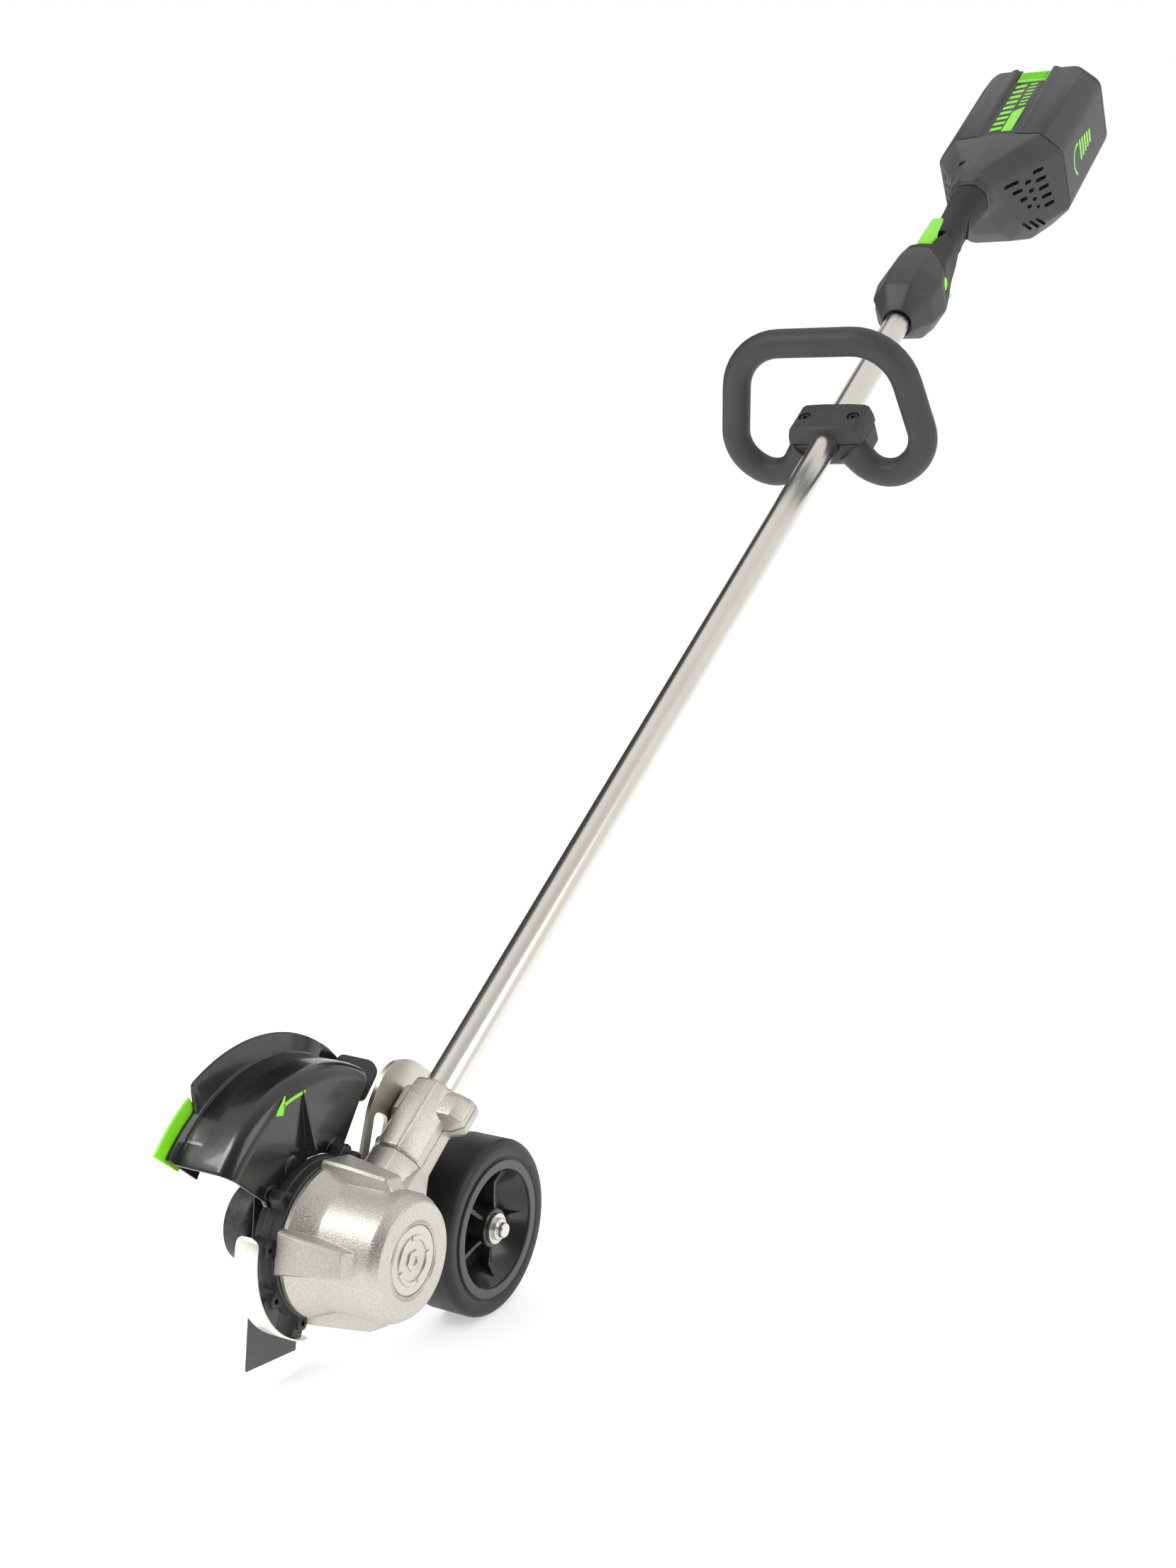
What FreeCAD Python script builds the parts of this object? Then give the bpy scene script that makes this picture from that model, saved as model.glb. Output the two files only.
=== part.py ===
# Battery lawn edger: a straight shaft with a direct-drive blade head, a guide wheel, a loop handle
# that clamps along the shaft, and a rear grip in front of a battery housing.
#
# Row frame: the origin is the point where the blade's middle plane cuts the spindle's axis.
# +X runs along the spindle from the blade to the closed end of the motor housing, +Z is up,
# and -Y is the way the tool travels, so the shaft climbs backwards along +Y and +Z.
import FreeCAD, Part
import Sketcher
import math
import os
from types import SimpleNamespace
from FreeCAD import Placement, Rotation, Vector

DRIVING_SIZES = {
    # shaft: "along" places are measured up the shaft from the foot of the spindle's perpendicular
    "pitch": 34.3, "shaft_x": 58.7, "shaft_drop": 9.0,
    "tube_od": 28.0, "tube_wall": 1.6, "tube_from": 60.0, "tube_length": 1260.0,
    "cable_od": 9.0,
    # clearances between pieces
    "slip": 0.05, "gap": 0.4, "play": 0.5,
    # blade and its clamping stack
    "blade_length": 203.0, "blade_width": 57.0, "blade_thick": 2.5,
    "spindle_od": 12.0, "spindle_tail_od": 10.0,
    "seat_od": 48.0, "seat_thick": 9.0,
    "cup_od": 64.0, "cup_deep": 25.0, "cup_wall": 3.0, "cup_base": 4.0,
    "nut_flats": 19.0, "nut_high": 10.0,
    # motor housing
    "motor_from": 46.0, "motor_to": 121.4, "foot_od": 112.0, "barrel_od": 95.0,
    "barrel_end_od": 92.0, "cap_od": 81.0, "housing_wall": 4.0, "shoulder": 18.0, "foot_rim": 5.0,
    "bevel": 8.0, "badge_od": 51.0, "badge_deep": 1.6,
    "rib_foot_wide": 40.0, "rib_nose_wide": 20.0, "rib_top": 0.62, "rib_nose_high": 50.5,
    "rib_back": 4.0, "rib_nose": 9.0,
    "neck_wall": 9.0, "neck_mouth": 142.0, "cap_from": 76.0, "ear_reach": 36.0, "ear_long": 22.0,
    "ear_thick": 9.0,
    # motor
    "stator_long": 40.0, "stator_from": 60.0, "rotor_od": 47.0, "air_gap": 0.6, "coil_end": 7.0,
    "magnet_thick": 3.0, "front_bearing_od": 32.0, "front_bearing_wide": 10.0,
    "rear_bearing_od": 30.0, "rear_bearing_wide": 9.0,
    # flange between the motor and the guard
    "flange_from": 12.0, "flange_boss_od": 62.0, "flange_disc_od": 104.0, "flange_rim_od": 114.0,
    "lug_circle": 60.5, "lug_od": 13.0, "screw_od": 4.0,
    # guard
    "guard_r": 125.0, "guard_front_r": 112.5, "guard_wall": 3.0, "guard_side_x": 30.0,
    "guard_round": 12.0, "fin_x": -20.5, "fin_rise": 14.0, "fin_drop": 26.0,
    "guard_back": 53.0, "guard_step": 120.0, "guard_front": 140.0, "fin_back": 31.0,
    "sight_r": 131.0, "sight_deep": 28.0, "sight_thick": 2.5, "flap_thick": 2.5, "flap_reach": 142.0,
    "strip_r": 72.5, "strip_thick": 1.6, "strip_wide": 20.0, "strip_from": 161.0, "strip_to": 258.0,
    # wheel and bracket
    "wheel_y": 163.0, "wheel_z": -44.5, "tyre_od": 140.0, "tyre_wide": 43.0, "wheel_in_x": 43.0,
    "rim_od": 109.0, "rim_lip_id": 94.5, "rim_wall": 4.0, "hub_od": 30.0, "web_thick": 5.0,
    "axle_od": 12.0, "bush_wall": 2.0, "bracket_x": 26.0, "bracket_thick": 4.0,
    "wheel_drop": 15.0, "wheel_lift": 12.0, "axle_nut_flats": 18.0,
    # loop handle
    "handle_along": 1034.0, "clamp_long": 45.0, "clamp_half": 40.0, "clamp_high": 21.0,
    "clamp_low": 25.0, "loop_back": 14.0, "loop_lean": 11.0, "loop_bar_od": 30.0,
    "loop_half": 108.0, "loop_top": 105.5, "loop_bottom": 52.0, "loop_shoulder": 86.0,
    "clamp_bolt_at": 27.0, "clamp_bolt_od": 6.0,
    # rear grip and its housings
    "nose_half": 18.0, "fore_half": 39.0, "fore_high": 40.0, "fore_low": 41.0,
    "fore_nose": 52.0, "fore_long": 54.0, "fore_tail": 46.0, "fore_brow": 23.0, "fore_neck": 16.0,
    "shell_wall": 3.0,
    "grip_od": 40.0, "grip_long": 122.0, "grip_wall": 3.0, "collar_od": 52.0, "collar_long": 24.0,
    "bell_long": 102.0, "bay_long": 178.0, "bay_half": 79.5, "bay_top_half": 54.0,
    "bay_high": 20.0, "bay_side_high": -5.0, "bay_side_low": -82.0, "bay_low": -104.0,
    "bay_low_half": 52.0, "ridge_half": 23.0, "ridge_wide": 11.0, "ridge_high": 5.0,
    "pack_tail": 12.0, "latch_half": 20.0, "latch_long": 26.0, "latch_push": 2.5,
    "trigger_wide": 13.0, "lever_wide": 13.0, "button_od": 17.0, "button_out": 35.0,
}

doc = FreeCAD.newDocument("lawn_edger")
sheet = doc.addObject("Spreadsheet::Sheet", "sizes")
for row, (alias, number) in enumerate(DRIVING_SIZES.items(), start=1):
    sheet.set(f"A{row}", alias)
    sheet.set(f"B{row}", str(number))
    sheet.setAlias(f"B{row}", alias)
doc.recompute()


class Size:
    """A size kept as its number and as the sheet expression that gives the number."""

    def __init__(self, text, number):
        self.text = text
        self.number = float(number)

    def __float__(self):
        return self.number

    def __neg__(self):
        return Size(f"(0 - {self.text})", -self.number)

    def __add__(self, other):
        return Size(f"({self.text} + {words(other)})", self.number + float(other))

    def __radd__(self, other):
        return Size(f"({words(other)} + {self.text})", float(other) + self.number)

    def __sub__(self, other):
        return Size(f"({self.text} - {words(other)})", self.number - float(other))

    def __rsub__(self, other):
        return Size(f"({words(other)} - {self.text})", float(other) - self.number)

    def __mul__(self, other):
        return Size(f"({self.text} * {words(other)})", self.number * float(other))

    __rmul__ = __mul__

    def __truediv__(self, other):
        return Size(f"({self.text} / {words(other)})", self.number / float(other))


def words(size):
    """The expression text of a size or of a plain number."""
    return size.text if isinstance(size, Size) else f"({float(size)!r})"


dim = SimpleNamespace(**{alias: Size(f"sizes.{alias}", sheet.get(alias)) for alias in DRIVING_SIZES})


# ---------------------------------------------------------------- frames
pitch = math.radians(float(dim.pitch))
SPINDLE = Placement(Vector(0, 0, 0), Rotation(Vector(0, 1, 0), Vector(0, 0, 1), Vector(1, 0, 0), "ZXY"))
SHAFT = Placement(
    Vector(float(dim.shaft_x), float(dim.shaft_drop) * math.sin(pitch),
           -float(dim.shaft_drop) * math.cos(pitch)),
    Rotation(Vector(1, 0, 0), float(dim.pitch)),
)
UP_SHAFT = SHAFT * Placement(Vector(0, 0, 0), Rotation(Vector(1, 0, 0), -90))
WHEEL = Placement(Vector(0, float(dim.wheel_y), float(dim.wheel_z)), SPINDLE.Rotation)

TURN = {"z": Rotation(), "x": Rotation(Vector(0, 1, 0), 90), "y": Rotation(Vector(1, 0, 0), -90),
        "-z": Rotation(Vector(1, 0, 0), 180), "-x": Rotation(Vector(0, 1, 0), -90)}

NODES = []


def node(thing, label, frame=None):
    """Name a finished sub-part, place it in its frame and list it for export."""
    thing.Label = label
    if frame is not None:
        thing.Placement = frame
    NODES.append(thing)
    return thing


# ---------------------------------------------------------------- primitives and booleans
def sized(kind, name, at=(0, 0, 0), turn=Rotation(), **sizes):
    """A Part primitive whose sizes are bound to the sheet, placed in its own frame."""
    thing = doc.addObject(kind, name)
    for prop, size in sizes.items():
        thing.setExpression(prop, words(size))
    thing.Placement = Placement(Vector(*[float(v) for v in at]), turn)
    return thing


def rod(name, radius, length, at=(0, 0, 0), along="z"):
    return sized("Part::Cylinder", name, at, TURN[along], Radius=radius, Height=length)


def block(name, low, high):
    """A box between two corners."""
    span = [h - l for l, h in zip(low, high)]
    return sized("Part::Box", name, low, Length=span[0], Width=span[1], Height=span[2])


def hexagon(name, flats, high, at=(0, 0, 0)):
    """A hexagonal prism along local z, measured across its flats."""
    return sized("Part::Prism", name, at, Polygon=6, Circumradius=flats / math.sqrt(3), Height=high)


def joined(name, *things):
    fuse = doc.addObject("Part::MultiFuse", name)
    fuse.Shapes = list(things)
    return fuse


def grouped(name, things):
    """Separate solids kept in one sub-part."""
    group = doc.addObject("Part::Compound", name)
    group.Links = list(things)
    return group


def less(name, base, *tools):
    cut = doc.addObject("Part::Cut", name)
    cut.Base = base
    cut.Tool = tools[0] if len(tools) == 1 else joined(name + "_tools", *tools)
    return cut


def carved(name, base, *tools):
    """Cut one tool after another, for tools that cross each other."""
    for i, tool in enumerate(tools):
        base = less(f"{name}_{i}", base, tool)
    return base


def turned_to(thing, degrees, radius=0.0, up=0.0):
    """Place a thing at an angle round local z, pushed out by a radius."""
    spin = Rotation(Vector(0, 0, 1), float(degrees))
    move = spin.multVec(Vector(float(radius), 0, float(up)))
    thing.Placement = Placement(move, spin) * thing.Placement
    return thing


# ---------------------------------------------------------------- sketched bodies
def sketch_on(body, role, outline):
    """A closed outline of straight edges, each corner held by two bound distances."""
    sketch = body.newObject("Sketcher::SketchObject", body.Name + "_outline")
    plane = [f for f in body.Origin.OriginFeatures if f.Role == role][0]
    sketch.AttachmentSupport = (plane, [""])
    sketch.MapMode = "FlatFace"
    corners = [Vector(float(a), float(b), 0) for a, b in outline]
    count = len(corners)
    sketch.addGeometry([Part.LineSegment(corners[i], corners[(i + 1) % count]) for i in range(count)], False)
    for i, (across, along) in enumerate(outline):
        sketch.addConstraint(Sketcher.Constraint("Coincident", i, 2, (i + 1) % count, 1))
        for kind, size in (("DistanceX", across), ("DistanceY", along)):
            index = sketch.addConstraint(Sketcher.Constraint(kind, -1, 1, i, 1, float(size)))
            if isinstance(size, Size):
                sketch.setExpression(f"Constraints[{index}]", size.text)
    return sketch


def revolved(name, profile, sweep=360):
    """A body turned about local z from corners given as (radius, height)."""
    body = doc.addObject("PartDesign::Body", name)
    sketch = sketch_on(body, "XZ_Plane", profile)
    turn = body.newObject("PartDesign::Revolution", name + "_turn")
    turn.Profile = sketch
    turn.ReferenceAxis = (sketch, ["V_Axis"])
    turn.Angle = float(sweep)
    return body


def padded(name, outline, low, high, corner=None):
    """A flat body cut from corners in local x and y, with its upright edges rounded by corner."""
    body = doc.addObject("PartDesign::Body", name)
    sketch = sketch_on(body, "XY_Plane", outline)
    sketch.setExpression("AttachmentOffset.Base.z", words(low))
    pad = body.newObject("PartDesign::Pad", name + "_pad")
    pad.Profile = sketch
    pad.setExpression("Length", words(high - low))
    if corner is not None:
        doc.recompute()
        upright = [
            f"Edge{i}" for i, edge in enumerate(pad.Shape.Edges, start=1)
            if abs(edge.tangentAt(edge.FirstParameter).z) > 0.99
        ]
        rounding = body.newObject("PartDesign::Fillet", name + "_corners")
        rounding.Base = (pad, upright)
        rounding.setExpression("Radius", words(corner))
    return body


def shaped(name, shape):
    """A sub-part whose shape comes from Part's own functions."""
    feature = doc.addObject("Part::Feature", name)
    feature.Shape = shape
    return feature


# ---------------------------------------------------------------- derived sizes
tube_r = dim.tube_od / 2
tube_to = dim.tube_from + dim.tube_length
neck_r = tube_r + dim.neck_wall
blade_half = dim.blade_thick / 2
spindle_r = dim.spindle_od / 2
barrel_r = dim.barrel_od / 2
cavity_r = dim.barrel_end_od / 2 - dim.housing_wall

# ---------------------------------------------------------------- shaft tube and its cable
tube_bar = rod("tube_bar", tube_r, dim.tube_length, (0, dim.tube_from, 0), "y")
tube_hollow = rod("tube_hollow", tube_r - dim.tube_wall, dim.tube_length, (0, dim.tube_from, 0), "y")
node(less("tube", tube_bar, tube_hollow), "shaft_tube", SHAFT)
cable = rod("cable", dim.cable_od / 2, dim.tube_length + 4, (0, dim.tube_from - 2, 0), "y")
node(grouped("cable_run", [cable]), "motor_cable", SHAFT)

# ---------------------------------------------------------------- motor housing: cup, ribs and shaft neck
foot_to = dim.motor_from + dim.foot_rim
shoulder_to = foot_to + dim.shoulder
badge_floor = dim.motor_to - dim.badge_deep
cup_outer = revolved("motor_cup", [
    (0, dim.motor_from), (dim.foot_od / 2, dim.motor_from), (dim.foot_od / 2, foot_to),
    (barrel_r, shoulder_to), (dim.barrel_end_od / 2, dim.motor_to - dim.bevel),
    (dim.cap_od / 2, dim.motor_to), (dim.badge_od / 2, dim.motor_to), (dim.badge_od / 2, badge_floor),
    (0, badge_floor),
])


def rib_section(name, half, top_share, foot_r, top_r, height):
    """One trapezoid section of a cooling rib, wide at the barrel and narrow on top."""
    sketch = doc.addObject("Sketcher::SketchObject", name)
    corners = [(foot_r, -half), (top_r, -(half * top_share)), (top_r, half * top_share), (foot_r, half)]
    points = [Vector(float(a), float(b), 0) for a, b in corners]
    sketch.addGeometry([Part.LineSegment(points[i], points[(i + 1) % 4]) for i in range(4)], False)
    for i, corner in enumerate(corners):
        sketch.addConstraint(Sketcher.Constraint("Coincident", i, 2, (i + 1) % 4, 1))
        for kind, size in zip(("DistanceX", "DistanceY"), corner):
            index = sketch.addConstraint(Sketcher.Constraint(kind, -1, 1, i, 1, float(size)))
            sketch.setExpression(f"Constraints[{index}]", size.text)
    sketch.Placement = Placement(Vector(0, 0, float(height)), Rotation())
    sketch.setExpression("Placement.Base.z", height.text)
    return sketch


rib_root_r = barrel_r - dim.housing_wall * 2
rib_end = dim.motor_to - dim.rib_back
ribs = []
for quarter in range(4):
    sections = [
        rib_section(f"rib_{quarter}_foot", dim.rib_foot_wide / 2, dim.rib_top, rib_root_r,
                    dim.foot_od / 2 + 1.5,
                    dim.motor_from),
        rib_section(f"rib_{quarter}_brow", dim.rib_nose_wide / 2 + 1, dim.rib_top, rib_root_r,
                    dim.rib_nose_high,
                    rib_end - dim.rib_nose),
        rib_section(f"rib_{quarter}_nose", dim.rib_nose_wide / 2, dim.rib_top * 0.9, rib_root_r,
                    barrel_r - 2,
                    rib_end),
    ]
    rib = doc.addObject("Part::Loft", f"rib_{quarter}")
    rib.Sections = sections
    rib.Solid = True
    rib.Ruled = True
    ribs.append(turned_to(rib, float(dim.pitch) + 45 + 90 * quarter))

# The neck lies along the shaft; in the spindle's frame it is turned up by the pitch.
LEAN = SPINDLE.inverse() * SHAFT


def leaning(thing):
    """Carry a thing modelled in the shaft's frame into the spindle's frame."""
    thing.Placement = LEAN * thing.Placement
    return thing


ear_far = tube_r + dim.ear_reach / 2
ear_near = dim.bracket_x + dim.bracket_thick + dim.gap - dim.shaft_x
ear_low = (ear_near, dim.neck_mouth - dim.ear_long, -dim.ear_thick)
neck = leaning(rod("neck", neck_r, dim.neck_mouth - 30, (0, 30, 0), "y"))
saddle = leaning(block("saddle", (-20.0, 34.0, -30.0), (20.0, 78.0, 16.0)))
gusset = leaning(block("gusset", (-2.5, 40.0, -44.0), (2.5, 92.0, -10.0)))
lower_ears = leaning(block("lower_ears", ear_low, (ear_far, dim.neck_mouth, dim.gap / -2)))
BRACKET_BOLTS = [(100.0, -14.0), (117.5, -14.0)]
bracket_face = dim.bracket_x + dim.bracket_thick
pads = [leaning(rod(f"pad_{i}", 8.0, 20.0, (bracket_face - dim.shaft_x, along, across), "x"))
        for i, (along, across) in enumerate(BRACKET_BOLTS)]
flange_room = rod("flange_room", dim.lug_circle + dim.lug_od / 2 + dim.gap, dim.motor_from)
side_solid = less("side_cut", joined("side_solid", neck, saddle, gusset, lower_ears, *pads), flange_room)
body_solid = joined("motor_solid", cup_outer, *ribs, side_solid)

stator_bore = dim.motor_from - 1
cavity = rod("motor_cavity", cavity_r, dim.motor_to - dim.housing_wall * 3 - stator_bore,
             (0, 0, stator_bore))
bearing_bore = rod("rear_bearing_seat", dim.rear_bearing_od / 2, dim.rear_bearing_wide + 1,
                   (0, 0, dim.motor_to - dim.housing_wall * 3 - 1))
shaft_bore = leaning(rod("tube_seat", tube_r, dim.neck_mouth, (0, dim.tube_from, 0), "y"))
cable_way = leaning(rod("cable_way", dim.cable_od / 2 + dim.play, dim.tube_from, (0, 10, 0), "y"))
cap_room = leaning(block("cap_room", (neck_r * -1.5, dim.cap_from, dim.gap / -2),
                         (neck_r * 1.5, dim.neck_mouth + 20, neck_r * 2)))
clamp_screw_r = dim.screw_od / 2 + 0.5
ear_screw_x = tube_r + clamp_screw_r + 4.5
ear_screw_at = dim.neck_mouth - dim.ear_long / 2
ear_holes = [leaning(rod(f"ear_hole_{side}", clamp_screw_r, 60, (ear_screw_x * side, ear_screw_at, -30)))
             for side in (-1, 1)]
ear_counters = [leaning(rod(f"ear_counter_{side}", dim.screw_od + dim.gap, 30 - dim.ear_thick,
                            (ear_screw_x * side, ear_screw_at, -30))) for side in (-1, 1)]
bracket_bolt_r = 2.5
pad_holes = [leaning(rod(f"pad_hole_{i}", bracket_bolt_r, 11, (bracket_face - dim.shaft_x - 1, along,
                                                               across), "x"))
             for i, (along, across) in enumerate(BRACKET_BOLTS)]
motor_screw_circle = (cavity_r + dim.foot_od / 2) / 2
rib_angles = [float(dim.pitch) + 45 + 90 * quarter for quarter in range(4)]
motor_screw_deep = 14.0
rib_holes = [turned_to(rod(f"rib_hole_{i}", dim.screw_od / 2, motor_screw_deep + 1,
                           (0, 0, dim.motor_from - 1)), angle,
                       motor_screw_circle) for i, angle in enumerate(rib_angles)]
motor_housing = carved("motor_housing_cut", body_solid, cavity, bearing_bore, shaft_bore, cap_room,
                       cable_way,
                       *ear_holes, *ear_counters, *pad_holes, *rib_holes)
node(motor_housing, "motor_housing", SPINDLE)

# The clamp cap closes the neck over the tube and is drawn down by two screws in its ears.
cap_half = rod("cap_round", neck_r, dim.neck_mouth - dim.cap_from, (0, dim.cap_from, 0), "y")
cap_rail = block("cap_rail", (-9.0, dim.cap_from, 0), (9.0, dim.neck_mouth, neck_r + 1.5))
upper_ears = block("upper_ears", (ear_near, dim.neck_mouth - dim.ear_long, 0.0),
                   (ear_far, dim.neck_mouth, dim.ear_thick))
cap_lower = block("cap_lower", (neck_r * -2, dim.cap_from - 1, neck_r * -2),
                  (neck_r * 2, dim.neck_mouth + 1, dim.gap / 2))
cap_bore = rod("cap_bore", tube_r, dim.neck_mouth, (0, dim.cap_from - 1, 0), "y")
cap_holes = [rod(f"cap_hole_{side}", clamp_screw_r, 60, (ear_screw_x * side, ear_screw_at, -30))
             for side in (-1, 1)]
node(less("clamp_cap", joined("clamp_cap_solid", cap_half, cap_rail, upper_ears), cap_lower, cap_bore,
          *cap_holes),
     "neck_clamp_cap", SHAFT)


def screw(name, at, head_r, head_high, shank_r, shank_long, along="z"):
    """A cap screw whose head stands on its place and whose shank runs back along its axis."""
    head = rod(name + "_head", head_r, head_high)
    socket = hexagon(name + "_socket", head_r, head_high / 2 + 1, (0, 0, head_high / 2))
    shank = rod(name + "_shank", shank_r, shank_long + 0.1, (0, 0, -shank_long))
    whole = less(name, joined(name + "_solid", head, shank), socket)
    whole.Placement = Placement(Vector(*[float(v) for v in at]), TURN[along])
    return whole


node(grouped("clamp_screw_pair", [
    screw(f"clamp_screw_{side}", (ear_screw_x * side, ear_screw_at, -dim.ear_thick), dim.screw_od,
          dim.screw_od,
          clamp_screw_r, dim.ear_thick * 2, "-z") for side in (-1, 1)]), "neck_clamp_screws", SHAFT)

# ---------------------------------------------------------------- badge in the cap's recess
badge_r = dim.badge_od / 2 - dim.gap
badge = revolved("badge", [
    (0, badge_floor), (badge_r, badge_floor), (badge_r, dim.motor_to - 0.4),
    (badge_r - 5, dim.motor_to - 0.4),
    (badge_r - 6, dim.motor_to + 0.6), (badge_r - 9, dim.motor_to + 0.6), (badge_r - 10, dim.motor_to - 0.4),
    (0, dim.motor_to - 0.4)])
node(badge, "cap_badge", SPINDLE)

# ---------------------------------------------------------------- stator, coils and bearings
stator_r = dim.rotor_od / 2 + dim.air_gap
stator_to = dim.stator_from + dim.stator_long
stator_ring = rod("stator_ring", cavity_r, dim.stator_long, (0, 0, dim.stator_from))
SLOTS = 12
slot_r, slot_circle, coil_r = 5.0, stator_r + 9, 4.6
slots = [turned_to(rod(f"stator_slot_{i}", slot_r, dim.stator_long + 2, (0, 0, dim.stator_from - 1)),
                   i * 360 / SLOTS,
                   slot_circle) for i in range(SLOTS)]
stator_hole = rod("stator_hole", stator_r, dim.stator_long + 2, (0, 0, dim.stator_from - 1))
node(less("stator", stator_ring, stator_hole, *slots), "stator_core", SPINDLE)
coils = []
for i in range(SLOTS):
    coil = rod(f"coil_{i}", coil_r, dim.stator_long + dim.coil_end * 2 - 4,
               (0, 0, dim.stator_from - dim.coil_end + 2))
    coils.append(turned_to(coil, i * 360 / SLOTS, slot_circle))
node(grouped("coil_group", coils), "stator_coils", SPINDLE)


def bearing(name, bore_r, outer_r, wide, at):
    ring = (outer_r - bore_r) / 4
    return revolved(name, [
        (bore_r, at), (bore_r + ring, at), (bore_r + ring, at + 1.2), (outer_r - ring, at + 1.2),
        (outer_r - ring, at), (outer_r, at), (outer_r, at + wide), (outer_r - ring, at + wide),
        (outer_r - ring, at + wide - 1.2), (bore_r + ring, at + wide - 1.2), (bore_r + ring, at + wide),
        (bore_r, at + wide)])


front_bearing_at = dim.flange_from + 4
rear_bearing_at = dim.motor_to - dim.housing_wall * 3
tail_r = dim.spindle_tail_od / 2
node(bearing("front_race", spindle_r + dim.slip, dim.front_bearing_od / 2, dim.front_bearing_wide,
             front_bearing_at),
     "front_bearing", SPINDLE)
node(bearing("rear_race", tail_r + dim.slip, dim.rear_bearing_od / 2, dim.rear_bearing_wide - 1,
             rear_bearing_at),
     "rear_bearing", SPINDLE)

# ---------------------------------------------------------------- flange that carries motor and guard
flange_disc_at = dim.flange_from + 8
flange_rim_at = dim.flange_from + 18
flange_core = revolved("flange_core", [
    (spindle_r + 2, dim.flange_from), (dim.flange_boss_od / 2, dim.flange_from),
    (dim.flange_boss_od / 2 + 3, flange_disc_at),
    (dim.flange_disc_od / 2, flange_disc_at), (dim.flange_disc_od / 2, flange_rim_at),
    (dim.flange_rim_od / 2, flange_rim_at), (dim.flange_rim_od / 2, dim.motor_from),
    (cavity_r, dim.motor_from), (cavity_r, flange_rim_at + 4), (spindle_r + 2, flange_rim_at + 4)])
bearing_room = rod("front_bearing_seat", dim.front_bearing_od / 2, 30, (0, 0, front_bearing_at))
LUG_ANGLES = [49.0, 64.0, 134.0]
lug_from = flange_rim_at + 2
lug_to = lug_from + 9
lugs = [turned_to(rod(f"lug_{i}", dim.lug_od / 2, lug_to - lug_from, (0, 0, lug_from)), angle,
                  dim.lug_circle)
        for i, angle in enumerate(LUG_ANGLES)]
lug_holes = [turned_to(rod(f"lug_hole_{i}", dim.screw_od / 2, 20, (0, 0, lug_from - 4)), angle,
                       dim.lug_circle)
             for i, angle in enumerate(LUG_ANGLES)]
strip_from_x = dim.flange_from + 10
CARRIER_ANGLES = [168.0, 206.0, 244.0]
carrier_reach = dim.strip_r - dim.gap
carriers = []
for i, angle in enumerate(CARRIER_ANGLES):
    arm = block(f"carrier_{i}", (dim.flange_disc_od / 2 - 6, -6.0, strip_from_x + 2),
                (carrier_reach, 6.0, strip_from_x + dim.strip_wide - 2))
    carriers.append(turned_to(arm, angle))
strip_hole_x = strip_from_x + dim.strip_wide / 2
carrier_holes = [turned_to(rod(f"carrier_hole_{i}", 1.6, 12, (dim.strip_r - 10, 0, strip_hole_x), "x"),
                           angle)
                 for i, angle in enumerate(CARRIER_ANGLES)]
motor_screw_ways = [turned_to(rod(f"motor_screw_way_{i}", dim.screw_od / 2, 40, (0, 0, flange_disc_at - 2)),
                              angle,
                              motor_screw_circle) for i, angle in enumerate(rib_angles)]
flange = less("flange_cut", joined("flange_solid", flange_core, *lugs, *carriers), bearing_room, *lug_holes,
              *carrier_holes, *motor_screw_ways)
node(flange, "motor_flange", SPINDLE)
motor_screw_long = dim.motor_from - flange_disc_at + motor_screw_deep - 1
node(grouped("motor_screw_group", [
    turned_to(screw(f"motor_screw_{i}", (0, 0, flange_disc_at), dim.screw_od * 0.9, dim.screw_od * 0.8,
                    dim.screw_od / 2, motor_screw_long, "-z"), angle, motor_screw_circle)
    for i, angle in enumerate(rib_angles)]), "motor_screws", SPINDLE)

# ---------------------------------------------------------------- bright deflector strip by the flange
strip_span = float(dim.strip_to) - float(dim.strip_from)
strip = revolved("strip_band", [
    (dim.strip_r, strip_from_x), (dim.strip_r + dim.strip_thick, strip_from_x),
    (dim.strip_r + dim.strip_thick, strip_from_x + dim.strip_wide),
    (dim.strip_r, strip_from_x + dim.strip_wide)],
    strip_span)
turned_to(strip, float(dim.strip_from))
strip_holes = [turned_to(rod(f"strip_hole_{i}", 1.7, 12, (dim.strip_r - 6, 0, strip_hole_x), "x"), angle)
               for i, angle in enumerate(CARRIER_ANGLES)]
node(less("strip", strip, *strip_holes), "deflector_strip", SPINDLE)
strip_rivet_r, strip_rivet_in = 1.55, 9.0
rivets = []
for i, angle in enumerate(CARRIER_ANGLES):
    rivet = rod(f"rivet_{i}", strip_rivet_r, dim.strip_thick + strip_rivet_in,
                (dim.strip_r - strip_rivet_in, 0, strip_hole_x), "x")
    rivets.append(turned_to(rivet, angle))
node(grouped("rivet_group", rivets), "strip_rivets", SPINDLE)

# ---------------------------------------------------------------- blade guard, sight plate and flap
guard_side_in = dim.guard_side_x - dim.guard_wall / 2
guard_side_out = dim.guard_side_x + dim.guard_wall / 2
fin_in = dim.fin_x + dim.guard_wall / 2
fin_out = dim.fin_x - dim.guard_wall / 2
foot_r = dim.flange_rim_od / 2 + dim.gap
blade_reach = math.hypot(float(dim.blade_length), float(dim.blade_width)) / 2
blade_sweep = Size(repr(blade_reach), blade_reach) + 4


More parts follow.
